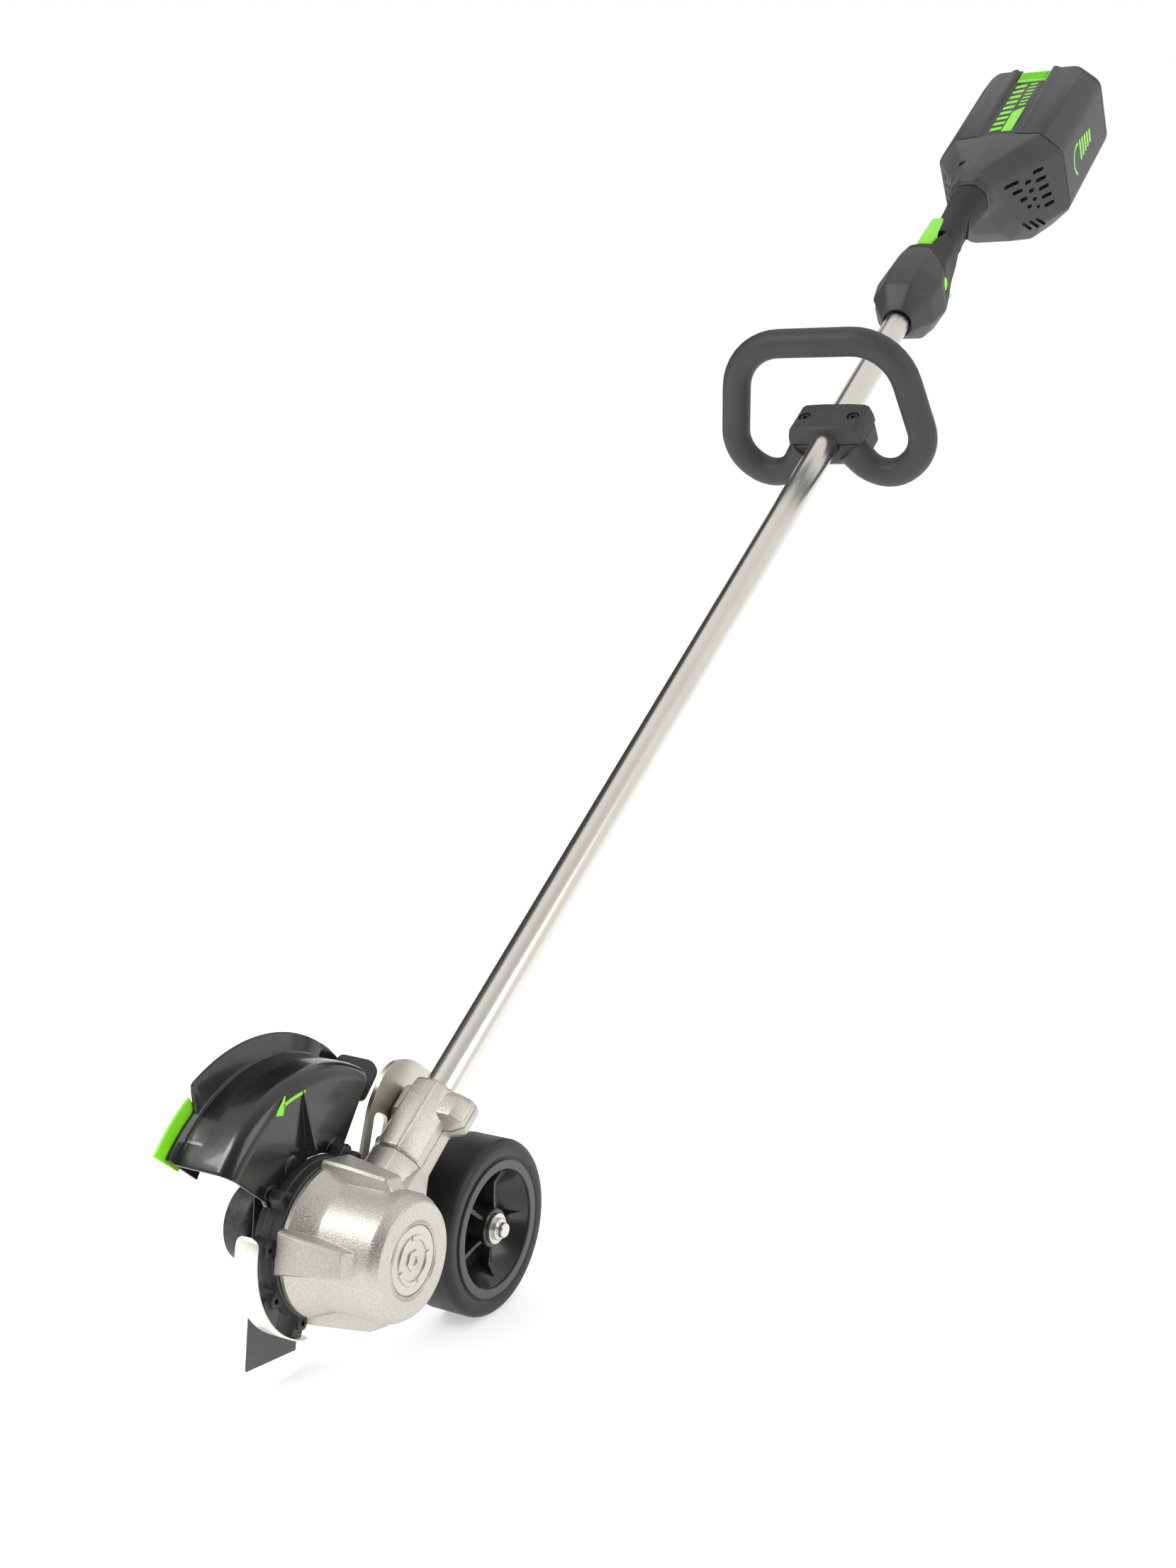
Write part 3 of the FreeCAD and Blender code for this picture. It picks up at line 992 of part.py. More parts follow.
# ---------------------------------------------------------------- battery pack and its latch
pack_from = bay_cut_from + 16
pack_body = lofted([(pack_from, bay_outline(pack_inset)), (bay_to + dim.gap, bay_outline(pack_inset))])
pack_tail = lofted([(bay_to + dim.gap, bay_outline(0.6)), (bay_to + dim.pack_tail * 0.6, bay_outline(1.0)),
                    (bay_to + dim.pack_tail, bay_outline(7.0))])
latch_pocket = Part.makeBox(notch_half * 2, float(dim.latch_long) + 4, 40,
                            Vector(-notch_half, float(bay_to - dim.latch_long) + 0.2,
                                   float(dim.bay_high) - 12))
blade_slots = [Part.makeBox(3.2, 16, 10, Vector(x - 1, pack_from - 1, -46)) for x in TERMINALS]
pack_room = lofted([(pack_from + 18, bay_outline(pack_inset + 6)),
                    (bay_to - 8, bay_outline(pack_inset + 6))])
pack = pack_body.fuse(pack_tail).cut(latch_pocket).cut(pack_room)
for blade_slot in blade_slots:
    pack = pack.cut(blade_slot)
node(shaped("pack", pack), "battery_pack", SHAFT)
cell_r = 10.5
cell_columns, cell_rows = 4, 3
cell_pitch = cell_r * 2 + 1
cells = []
for column in range(cell_columns):
    for line in range(cell_rows):
        place = ((column - (cell_columns - 1) / 2) * cell_pitch, pack_from + 22,
                 -42.0 + (line - 1) * cell_pitch)
        cells.append(rod(f"cell_{column}_{line}", cell_r, dim.bay_long - 70, place, "y"))
node(grouped("cell_group", cells), "battery_cells", SHAFT)
latch_from = bay_to - dim.latch_long + 1
latch_body = padded("latch_plate", [
    (-dim.latch_half, latch_from), (dim.latch_half, latch_from), (dim.latch_half, bay_to + 3),
    (-dim.latch_half, bay_to + 3)], dim.bay_high - 12 + dim.latch_push + dim.play, dim.bay_high + 1, 3.0)
node(latch_body, "battery_latch", SHAFT)

# ---------------------------------------------------------------- trigger, lock-off lever and power button
def side_profile(name, corners, half):
    """A lever cut from corners given as (along, across), as wide as twice half."""
    points = [Vector(-float(half), float(along), across) for along, across in corners]
    face = Part.Face(Part.makePolygon(points + points[:1]))
    return face.extrude(Vector(2 * float(half), 0, 0))


g = float(grip_from)
trigger_shape = side_profile("trigger", [
    (g - 42, -15), (g - 12, -15), (g - 3, -24), (g - 5, -34), (g + 1, -44), (g + 14, -52), (g + 12, -56),
    (g - 4, -51), (g - 16, -42), (g - 22, -32), (g - 40, -27)], dim.trigger_wide / 2)
trigger_pin_hole = Part.makeCylinder(pin_r + float(dim.slip), 60, Vector(-30, *trigger_pin_at),
                                     Vector(1, 0, 0))
node(shaped("trigger", trigger_shape.cut(trigger_pin_hole)), "trigger", SHAFT)
pin_reach = trigger_half + 5.5
node(grouped("trigger_pin_piece", [
    rod("trigger_pin_bar", pin_r, pin_reach * 2, (-pin_reach, *trigger_pin_at), "x")]), "trigger_pin", SHAFT)
lever_shape = side_profile("lever", [
    (g - 30, 9), (g - 16, 9), (g - 14, 24), (g + 2, 27.5), (g + 28, 28.5), (g + 32, 31), (g + 29, 35),
    (g + 2, 36.5), (g - 16, 33), (g - 30, 22)], dim.lever_wide / 2)
lever_pin_hole = Part.makeCylinder(pin_r + float(dim.slip), 60, Vector(-30, *lever_pin_at), Vector(1, 0, 0))
node(shaped("lever", lever_shape.cut(lever_pin_hole)), "lock_off_lever", SHAFT)
lever_reach = lever_half + 5.5
node(grouped("lever_pin_piece", [
    rod("lever_pin_bar", pin_r, lever_reach * 2, (-lever_reach, *lever_pin_at), "x")]), "lever_pin", SHAFT)
node(grouped("button_piece", [
    rod("button_disc", button_r, BUTTON_DEEP, (dim.button_out - BUTTON_DEEP, *button_at), "x")]),
    "power_button", SHAFT)


# ---------------------------------------------------------------- check and write
doc.recompute()
for thing in doc.Objects:
    if "Invalid" in thing.State or "Error" in thing.State:
        raise RuntimeError(f"{thing.Label} failed to recompute: {thing.State}")
os.makedirs("parts", exist_ok=True)
for thing in NODES:
    shape = thing.Shape
    if shape.isNull() or not shape.isValid() or not shape.Solids:
        raise RuntimeError(f"{thing.Label} has no valid solid")
    shape.exportStep(f"parts/{thing.Label}.step")
print(f"{len(NODES)} sub-parts written")
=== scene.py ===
import math

import bmesh
import bpy
from mathutils import Matrix, Vector


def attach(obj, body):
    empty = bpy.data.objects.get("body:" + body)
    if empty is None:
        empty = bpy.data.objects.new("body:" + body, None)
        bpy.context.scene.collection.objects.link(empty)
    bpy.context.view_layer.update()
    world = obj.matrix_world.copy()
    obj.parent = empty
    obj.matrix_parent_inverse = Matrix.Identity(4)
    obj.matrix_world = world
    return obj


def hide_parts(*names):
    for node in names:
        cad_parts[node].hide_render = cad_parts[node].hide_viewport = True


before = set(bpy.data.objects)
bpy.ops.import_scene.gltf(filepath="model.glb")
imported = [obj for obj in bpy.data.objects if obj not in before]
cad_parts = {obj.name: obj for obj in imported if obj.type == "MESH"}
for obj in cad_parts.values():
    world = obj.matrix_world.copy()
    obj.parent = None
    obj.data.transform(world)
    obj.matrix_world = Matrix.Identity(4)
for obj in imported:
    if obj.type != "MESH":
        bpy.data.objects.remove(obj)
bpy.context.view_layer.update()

# ---------------------------------------------------------------- shaft tube
# The long drawn aluminium tube that joins the motor head to the rear grip.
# It is satin ground along its length, so its fine lines run up the shaft.
MM = 0.001
PITCH = math.radians(34.3)
SHAFT = (
    Matrix.Translation((0.0587, 0.00507, -0.00743)) @ Matrix.Rotation(PITCH, 4, "X") @ Matrix.Scale(MM, 4))
UP_SHAFT = SHAFT @ Matrix.Rotation(math.radians(-90), 4, "X")
TUBE_R = 14.0
TUBE_FROM, TUBE_TO = 60.0, 1320.0


class Wire:
    """A socket of a material's tree, so that shader sums read as plain Python."""

    def __init__(self, paint, socket):
        self.paint, self.socket = paint, socket

    def sum(self, operation, *values):
        return self.paint.node("ShaderNodeMath", {"operation": operation}, dict(enumerate(values)))

    def __add__(self, other):
        return self.sum("ADD", self, other)

    def __sub__(self, other):
        return self.sum("SUBTRACT", self, other)

    def __rsub__(self, other):
        return self.sum("SUBTRACT", other, self)

    def __mul__(self, other):
        return self.sum("MULTIPLY", self, other)

    __radd__ = __add__
    __rmul__ = __mul__


class Paint:
    """A material under construction: its nodes come from node(), its look ends in the surface shader."""

    def __init__(self, name, **fixed):
        self.material = bpy.data.materials.new(name)
        self.material.use_nodes = True
        self.tree = self.material.node_tree
        self.shader = self.tree.nodes["Principled BSDF"]
        for socket, value in fixed.items():
            self.shader.inputs[socket.replace("_", " ")].default_value = value
        self.place = self.node("ShaderNodeTexCoord", out="Object")

    def node(self, kind, settings=None, inputs=None, out=0):
        """A new node: its settings, then the value or wire of each socket, and the output that is wanted."""
        made = self.tree.nodes.new(kind)
        for setting, value in (settings or {}).items():
            if setting == "stops":
                for stop, (position, colour) in zip(made.color_ramp.elements, value):
                    stop.position, stop.color = position, colour
            else:
                setattr(made, setting, value)
        for socket, value in (inputs or {}).items():
            if isinstance(value, Wire):
                self.tree.links.new(value.socket, made.inputs[socket])
            else:
                made.inputs[socket].default_value = value
        return Wire(self, made.outputs[out])

    def noise(self, size, detail=2.0, place=None):
        """Noise from 0 to 1 whose grains are about size metres across."""
        return self.node(
            "ShaderNodeTexNoise",
            inputs={"Vector": place or self.place, "Scale": 1.0 / size, "Detail": detail}, out="Fac")

    def spread(self, wire, low, high, low_to=0.0, high_to=1.0):
        """The wire's values from low to high, spread over another range."""
        return self.node("ShaderNodeMapRange", inputs={
            "Value": wire, "From Min": low, "From Max": high, "To Min": low_to, "To Max": high_to})

    def mixed(self, share, one, other):
        """One colour going over into the other by a share from 0 to 1."""
        mix = self.tree.nodes.new("ShaderNodeMix")
        mix.data_type = "RGBA"
        for socket, value in ((mix.inputs[0], share), (mix.inputs[6], one), (mix.inputs[7], other)):
            if isinstance(value, Wire):
                self.tree.links.new(value.socket, socket)
            else:
                socket.default_value = value
        return Wire(self, mix.outputs[2])

    def bump(self, height, depth, rounding=0.0, strength=1.0):
        """Raise the surface by a height wire from 0 to 1, over edges that are rounded in the light."""
        inputs = {"Height": height, "Distance": depth, "Strength": strength}
        if rounding:
            inputs["Normal"] = self.node("ShaderNodeBevel", {"samples": 6}, {"Radius": rounding})
        self.put("Normal", self.node("ShaderNodeBump", inputs=inputs))

    def put(self, socket, wire):
        self.tree.links.new(wire.socket, self.shader.inputs[socket])


def grey(value):
    return (value, value, value, 1.0)


def turned(name, outline, start=0.0, sweep=360.0, steps=96):
    """A piece turned round local z from a closed outline of (radius, height), in millimetres."""
    bpy.ops.object.select_all(action="DESELECT")
    bpy.ops.mesh.primitive_circle_add(vertices=len(outline), fill_type="NOTHING")
    piece = bpy.context.active_object
    piece.name = name
    bpy.ops.object.mode_set(mode="EDIT")
    mesh = bmesh.from_edit_mesh(piece.data)
    turn = math.radians(start)
    for vert, (radius, height) in zip(mesh.verts, outline):
        vert.co = (radius * math.cos(turn), radius * math.sin(turn), height)
    bmesh.update_edit_mesh(piece.data)
    bpy.ops.mesh.select_all(action="SELECT")
    if sweep < 360:
        bpy.ops.mesh.edge_face_add()
    bpy.ops.mesh.spin(steps=steps, angle=math.radians(sweep), center=(0, 0, 0), axis=(0, 0, 1))
    bpy.ops.mesh.select_all(action="SELECT")
    bpy.ops.mesh.remove_doubles(threshold=0.001)
    bpy.ops.mesh.normals_make_consistent(inside=False)
    bpy.ops.object.mode_set(mode="OBJECT")
    return piece


def softened(piece, width, segments=3, angle=30.0):
    """Round the edges that are sharper than an angle."""
    rounding = piece.modifiers.new("rounding", "BEVEL")
    rounding.width, rounding.segments = width, segments
    rounding.limit_method, rounding.angle_limit = "ANGLE", math.radians(angle)
    applied(piece)
    return piece


def applied(piece):
    """Apply every modifier of a piece."""
    bpy.ops.object.select_all(action="DESELECT")
    piece.select_set(True)
    bpy.context.view_layer.objects.active = piece
    for modifier in list(piece.modifiers):
        bpy.ops.object.modifier_apply(modifier=modifier.name)


def fitted(piece, place, paint, body, slot, *nodes, smooth=35.0):
    """Put a finished piece where it belongs: its place goes into its mesh, and it rides on its body."""
    piece.data.transform(place)
    piece.data.update()
    bpy.ops.object.select_all(action="DESELECT")
    piece.select_set(True)
    bpy.context.view_layer.objects.active = piece
    bpy.ops.object.shade_smooth_by_angle(angle=math.radians(smooth))
    piece.data.materials.clear()
    piece.data.materials.append(paint.material)
    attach(piece, body)
    if nodes:
        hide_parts(*nodes)
    return piece


tube_metal = Paint("ground_tube", Metallic=1.0)
along_shaft = tube_metal.node("ShaderNodeMapping", inputs={
    "Vector": tube_metal.place, "Rotation": (-PITCH, 0, 0), "Scale": (1.0, 0.012, 1.0)})
grinding = tube_metal.noise(0.0007, 3.0, along_shaft)
clouds = tube_metal.noise(0.09, 1.0)
tube_metal.put("Base Color", tube_metal.mixed(clouds, (0.64, 0.615, 0.565, 1), (0.71, 0.69, 0.64, 1)))
tube_metal.put("Roughness", tube_metal.spread(grinding, 0.3, 0.7, 0.20, 0.29))
tube_metal.bump(grinding, 0.00002)

tube = turned("shaft_tube_skin", [
    (0, TUBE_FROM), (TUBE_R - 0.6, TUBE_FROM), (TUBE_R, TUBE_FROM + 0.6), (TUBE_R, TUBE_TO - 0.6),
    (TUBE_R - 0.6, TUBE_TO), (0, TUBE_TO)])
fitted(tube, UP_SHAFT, tube_metal, "frame", "tube_metal", "shaft_tube")

# ---------------------------------------------------------------- motor housing
# The cast cup over the motor, with four broad ribs and a neck that holds the tube.
# Die-cast alloy, tumbled and lacquered, so it has a fine sandy sparkle and soft edges.
SPINDLE = Matrix(((0, 0, 1, 0), (1, 0, 0, 0), (0, 1, 0, 0), (0, 0, 0, 1))) @ Matrix.Scale(MM, 4)
NECK_R = 21.5
NECK_TO = 142.0


def fine_finish(name, grain, colours, gloss, depth=0.0, rounding=0.0, detail=2.0, tone=0.0, **fixed):
    """A finish with a fine grain, which sets its gloss and raises its skin, over two colours."""
    paint = Paint(name, **fixed)
    skin = paint.noise(grain, detail)
    paint.put("Base Color", paint.mixed(paint.noise(tone) if tone else skin, *colours))
    paint.put("Roughness", paint.spread(skin, 0.3, 0.7, *gloss))
    if depth:
        paint.bump(skin, depth, rounding)
    return paint


def dressed(name, paint):
    """Give a piece that keeps its own shape the finish that it really has."""
    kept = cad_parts[name]
    kept.data.materials.clear()
    kept.data.materials.append(paint.material)


def drawn(name, rings):
    """A closed skin drawn through rings of equally many points, each extruded from the one before."""
    bpy.ops.object.select_all(action="DESELECT")
    bpy.ops.mesh.primitive_circle_add(vertices=len(rings[0]), fill_type="NGON")
    piece = bpy.context.active_object
    piece.name = name
    bpy.ops.object.mode_set(mode="EDIT")
    mesh = bmesh.from_edit_mesh(piece.data)
    for vert, point in zip(mesh.verts, rings[0]):
        vert.co = point
    bmesh.update_edit_mesh(piece.data)
    bpy.ops.mesh.select_all(action="SELECT")
    for near, far in zip(rings, rings[1:]):
        bpy.ops.mesh.extrude_region_move()
        mesh = bmesh.from_edit_mesh(piece.data)
        near = [Vector(point) for point in near]
        for vert in [vert for vert in mesh.verts if vert.select]:
            nearest = min(range(len(near)), key=lambda i: (near[i] - vert.co).length_squared)
            vert.co = far[nearest]
        bmesh.update_edit_mesh(piece.data)
    bpy.ops.mesh.select_all(action="SELECT")
    bpy.ops.mesh.normals_make_consistent(inside=False)
    bpy.ops.object.mode_set(mode="OBJECT")
    return piece


def slab(name, outline, low, high, corner=0.0, segments=6):
    """A flat plate from an outline in local x and y, between two heights, with its corners rounded."""
    bpy.ops.object.select_all(action="DESELECT")
    bpy.ops.mesh.primitive_circle_add(vertices=len(outline), fill_type="NGON")
    piece = bpy.context.active_object
    piece.name = name
    bpy.ops.object.mode_set(mode="EDIT")
    mesh = bmesh.from_edit_mesh(piece.data)
    for vert, (x, y) in zip(mesh.verts, outline):
        vert.co = (x, y, low)
    bmesh.update_edit_mesh(piece.data)
    bpy.ops.mesh.select_all(action="SELECT")
    if corner:
        bpy.ops.mesh.bevel(offset=corner, segments=segments, affect="VERTICES")
        bpy.ops.mesh.select_all(action="SELECT")
    bpy.ops.mesh.extrude_region_move(TRANSFORM_OT_translate={"value": (0, 0, high - low)})
    bpy.ops.mesh.select_all(action="SELECT")
    bpy.ops.mesh.normals_make_consistent(inside=False)
    bpy.ops.object.mode_set(mode="OBJECT")
    return piece


def eased(corners, radius, steps=4, open_ends=False):
    """An outline, or a path, whose corners are rounded off over a radius on both of their sides."""
    outline = []
    for i, corner in enumerate(corners):
        here = Vector(corner)
        if open_ends and i in (0, len(corners) - 1):
            outline.append(tuple(here))
            continue
        soft = radius[i] if isinstance(radius, (list, tuple)) else radius
        back, ahead = Vector(corners[i - 1]) - here, Vector(corners[(i + 1) % len(corners)]) - here
        reach = min(soft, back.length * 0.45, ahead.length * 0.45)
        start, end = here + back.normalized() * reach, here + ahead.normalized() * reach
        outline += [tuple(start * (1 - t) ** 2 + here * 2 * t * (1 - t) + end * t * t)
                    for t in (k / steps for k in range(steps + 1))]
    return outline


def flowing(rings, radius, steps=3):
    """Rings that go over into each other softly: the path of every point is rounded along the piece."""
    paths = [eased([ring[i] for ring in rings], radius, steps, True) for i in range(len(rings[0]))]
    return [list(ring) for ring in zip(*paths)]


def moved(piece, place):
    """Carry a part-made piece into another frame, in its mesh."""
    piece.data.transform(place)
    return piece


def combined(piece, others, operation="UNION"):
    """Join closed parts into one skin, or cut them out of it."""
    for other in others:
        step = piece.modifiers.new("step", "BOOLEAN")
        step.operation, step.solver, step.object = operation, "EXACT", other
        applied(piece)
        bpy.data.objects.remove(other)
    return piece


def peg(name, radius, low, high, at=(0, 0), sides=32, turn=None):
    """A round peg along local z, or along another direction after a turn."""
    bpy.ops.object.select_all(action="DESELECT")
    bpy.ops.mesh.primitive_cylinder_add(
        vertices=sides, radius=radius, depth=high - low, location=(at[0], at[1], (low + high) / 2))
    piece = bpy.context.active_object
    piece.name = name
    bpy.ops.object.transform_apply(location=True, rotation=True, scale=True)
    return moved(piece, turn) if turn else piece


def brick(name, low, high):
    """A plain block between two corners, to be cut, softened or joined on."""
    bpy.ops.object.select_all(action="DESELECT")
    bpy.ops.mesh.primitive_cube_add(size=1.0)
    piece = bpy.context.active_object
    piece.name = name
    low, high = Vector(low), Vector(high)
    return moved(piece, Matrix.Translation((low + high) / 2) @ Matrix.Diagonal((*(high - low), 1)))


def rounded(name, low, high, width, segments=3):
    return softened(brick(name, low, high), width, segments)


def spun(degrees):
    return Matrix.Rotation(math.radians(degrees), 4, "Z")


def rib_ring(height, root, top, half, top_half):
    """One section of a cooling rib at a height: wide at the barrel and narrow on top."""
    return [(root, -half, height), (top - 2.0, -top_half - 1.6, height), (top, -top_half, height),
            (top, top_half, height), (top - 2.0, top_half + 1.6, height), (root, half, height)]


cast_alloy = Paint("cast_alloy", Metallic=1.0)
sand = cast_alloy.noise(0.0009, 2.0)
grit = cast_alloy.noise(0.0016, 1.0)
cast_clouds = cast_alloy.noise(0.03, 2.0)
cast_alloy.put("Base Color", cast_alloy.mixed(
    cast_alloy.spread(sand, 0.35, 0.68),
    cast_alloy.mixed(cast_clouds, (0.42, 0.40, 0.355, 1), (0.48, 0.46, 0.415, 1)), (0.64, 0.62, 0.575, 1)))
cast_alloy.put("Roughness", cast_alloy.spread(sand + grit * 0.5, 0.45, 1.0, 0.33, 0.50))
cast_alloy.bump(sand * 0.7 + grit * 0.3, 0.00026, 0.0008)

housing = turned("motor_housing_skin", [
    (0, 46.0), (55.2, 46.0), (56.0, 46.8), (56.0, 50.2), (55.2, 51.4), (49.6, 65.5), (48.4, 68.0),
    (47.5, 71.0), (46.1, 112.5), (45.5, 114.6), (42.2, 119.6), (41.4, 120.7), (40.2, 121.3), (28.6, 121.4),
    (28.0, 120.9), (27.6, 120.2), (26.8, 120.2), (26.4, 120.9), (25.8, 121.1), (25.4, 120.6), (25.4, 119.8),
    (0, 119.8)])
RIB_ANGLES = [79.3, 169.3, 259.3, 349.3]
rib_parts = []
for i, angle in enumerate(RIB_ANGLES):
    rib = drawn(f"rib_{i}", [
        rib_ring(46.2, 34.0, 59.2, 21.0, 14.5), rib_ring(52.0, 34.0, 59.0, 20.0, 13.5),
        rib_ring(66.0, 34.0, 57.8, 16.0, 11.4), rib_ring(96.0, 34.0, 54.6, 11.5, 8.4),
        rib_ring(98.4, 34.0, 53.4, 11.0, 8.0), rib_ring(104.5, 34.0, 44.6, 9.0, 6.6)])
    rib_parts.append(moved(rib, spun(angle)))
LEAN = SPINDLE.inverted() @ SHAFT
along_neck = Matrix.Rotation(math.radians(-90), 4, "X")
neck_low = drawn("neck_low", [[(x, along, n) for x, n in (
    (-half, top), (-half, -0.55 * deep), (-0.55 * half, -deep), (0.55 * half, -deep), (half, -0.55 * deep),
    (half, top))] for along, half, deep, top in (
        (36.0, 30.0, 34.0, 14.0), (62.0, 27.0, 32.0, 10.0), (74.0, 23.0, 26.0, 4.0),
        (80.0, NECK_R, 23.0, -0.2), (NECK_TO, NECK_R - 0.8, 21.0, -0.2))])
neck_top = drawn("neck_top", [
    [(-half, along, -2.0), (-half, along, 0.40 * high), (-0.62 * half, along, 0.86 * high),
     (-9.0, along, high), (-9.0, along, high + 1.4), (9.0, along, high + 1.4), (9.0, along, high),
     (0.62 * half, along, 0.86 * high), (half, along, 0.40 * high), (half, along, -2.0)]
    for along, half, high in ((34.0, 24.0, 21.8), (60.0, 22.4, 21.7), (75.6, NECK_R, 21.6))])
neck_web = drawn("neck_web", [
    [(half, 38.0, -38.0), (half, 104.0, -20.0), (half, 70.0, 0.0), (half, 38.0, 0.0)]
    for half in (-2.6, 2.6)])
big_ear = drawn("big_ear", [[
    (14.0, along, top), (14.0, along, -12.0), (reach - 6, along, -12.0), (reach, along, -7.0),
    (reach, along, top)] for along, reach, top in (
        (114.0, 26.0, -2.5), (119.0, 37.0, -0.2), (137.0, 37.0, -0.2), (NECK_TO - 0.5, 35.0, -0.2))])
small_ear = drawn("small_ear", [
    [(-12.0, along, -0.2), (-12.0, along, -11.0), (-reach, along, -11.0), (-reach, along, -0.2)]
    for along, reach in ((104.0, 22.0), (118.0, 28.1), (NECK_TO - 0.5, 28.1))])
neck_parts = [
    moved(softened(part, 1.0, 2), LEAN) for part in (neck_low, neck_top, neck_web, big_ear, small_ear)]
combined(housing, rib_parts + neck_parts)
tube_way = moved(peg("tube_way", TUBE_R + 0.1, 70.0, 160.0, turn=along_neck), LEAN)
combined(housing, [tube_way], "DIFFERENCE")
fitted(housing, SPINDLE, cast_alloy, "frame", "cast_alloy", "motor_housing", smooth=24.0)

# ---------------------------------------------------------------- neck clamp cap
# The upper half of the neck, a casting of its own with a raised rail, drawn down by two screws.
# Same alloy as the cup; its parting line to the neck stays open by a hair.
cap_shell = drawn("neck_clamp_cap_skin", [
    [(-half, along, 0.3), (-half, along, 0.40 * high), (-0.62 * half, along, 0.86 * high),
     (-9.6, along, high), (-9.0, along, high + rail), (-6.0, along, high + rail + 0.8),
     (6.0, along, high + rail + 0.8), (9.0, along, high + rail), (9.6, along, high),
     (0.62 * half, along, 0.86 * high), (half, along, 0.40 * high), (half, along, 0.3)]
    for along, half, high, rail in (
        (76.0, 21.6, 20.0, 1.0), (79.0, NECK_R, 21.6, 1.4), (139.5, NECK_R - 0.8, 20.8, 1.4),
        (NECK_TO, NECK_R - 1.8, 19.6, 1.0))])
big_lug = drawn("big_lug", [[
    (14.0, along, 0.3), (14.0, along, high + 2.0), (reach - 10, along, high),
    (reach - 1, along, high * 0.45), (reach, along, 0.3)] for along, reach, high in (
        (113.0, 27.0, 6.0), (119.0, 37.0, 12.5), (136.0, 37.0, 12.5), (NECK_TO - 0.5, 34.5, 9.0))])
small_lug = drawn("small_lug", [[
    (-12.0, along, 0.3), (-12.0, along, high + 2), (-reach + 5, along, high), (-reach, along, high * 0.5),
    (-reach, along, 0.3)] for along, reach, high in (
        (104.0, 21.0, 4.0), (118.0, 28.1, 11.0), (138.0, 28.1, 11.0), (NECK_TO - 0.5, 27.0, 8.0))])
combined(softened(cap_shell, 0.8, 2), [softened(big_lug, 1.0, 2), softened(small_lug, 1.0, 2)])
combined(cap_shell, [peg("cap_way", TUBE_R + 0.1, 70.0, 160.0, turn=along_neck)], "DIFFERENCE")
fitted(cap_shell, SHAFT, cast_alloy, "frame", "cast_alloy", "neck_clamp_cap", smooth=24.0)

# ---------------------------------------------------------------- cap badge
# A plain round mark pressed into the end of the cup: a split ring round a hexagon boss.
# It is cast in the same alloy, a shade brighter where it is polished.
badge_metal = fine_finish(
    "polished_badge", 0.0009, ((0.52, 0.495, 0.445, 1), (0.62, 0.60, 0.55, 1)), (0.34, 0.46), 0.00008,
    0.0006, Metallic=1.0)
badge = turned("cap_badge_skin", [(0, 119.9), (24.8, 119.9), (24.8, 120.5), (24.2, 121.0), (0, 121.0)])
marks = [turned(
    f"mark_{i}", [(14.6, 120.6), (18.2, 120.6), (18.2, 121.9), (17.7, 122.3), (15.1, 122.3), (14.6, 121.9)],
    start + 4.0, 82.0, 20) for i, start in enumerate((0, 90, 180, 270))]
hexagon = [(8.2 * math.cos(math.radians(60 * i + 4.3)), 8.2 * math.sin(math.radians(60 * i + 4.3)))
           for i in range(6)]
boss = softened(slab("boss", hexagon, 120.6, 122.2), 0.4, 2)
dimple = peg("dimple", 3.4, 121.2, 124.0)
combined(badge, marks + [boss])
combined(badge, [dimple], "DIFFERENCE")
fitted(badge, SPINDLE, badge_metal, "frame", "badge_plastic", "cap_badge")

# ---------------------------------------------------------------- motor flange
# The moulded ring that carries the motor on one side and the guard on the other.
# Glass-filled nylon, dark grey with a dull skin; its screw lugs stand out round the rim.
dark_nylon = fine_finish(
    "dark_nylon", 0.0007, (grey(0.030), grey(0.042)), (0.42, 0.55), 0.00005, 0.0008, tone=0.02,
    Specular_IOR_Level=0.45)
flange = turned("motor_flange_skin", [
    (8.0, 12.0), (31.0, 12.0), (32.0, 13.0), (34.0, 20.0), (51.0, 20.0), (52.0, 21.0), (52.0, 29.0),
    (53.0, 30.0), (57.0, 30.0), (58.2, 31.2), (58.2, 37.5), (57.2, 38.5), (57.2, 44.8), (56.2, 45.9),
    (8.0, 45.9)])
LUG_ANGLES = [49.0, 64.0, 134.0, 168.0, 206.0, 244.0, 280.0, 310.0]
lugs = []
for i, angle in enumerate(LUG_ANGLES):
    lug = slab(
        f"lug_{i}", [(48.0, -9.5), (60.0, -6.0), (66.0, -4.0), (66.0, 4.0), (60.0, 6.0), (48.0, 9.5)], 32.0,
        43.0, 2.2, 4)
    lugs.append(moved(softened(lug, 0.6, 2), spun(angle)))
combined(flange, lugs)
for i, angle in enumerate((168.0, 206.0, 244.0)):
    arm = softened(brick(f"arm_{i}", (46.0, -6.0, 24.0), (72.1, 6.0, 40.0)), 0.8, 2)
    combined(flange, [moved(arm, spun(angle))])
holes = [moved(peg(f"lug_hole_{i}", 2.1, 38.0, 50.0, (61.0, 0.0), 20), spun(angle))
         for i, angle in enumerate(LUG_ANGLES)]
combined(flange, holes, "DIFFERENCE")
fitted(flange, SPINDLE, dark_nylon, "frame", "grey_plastic", "motor_flange")

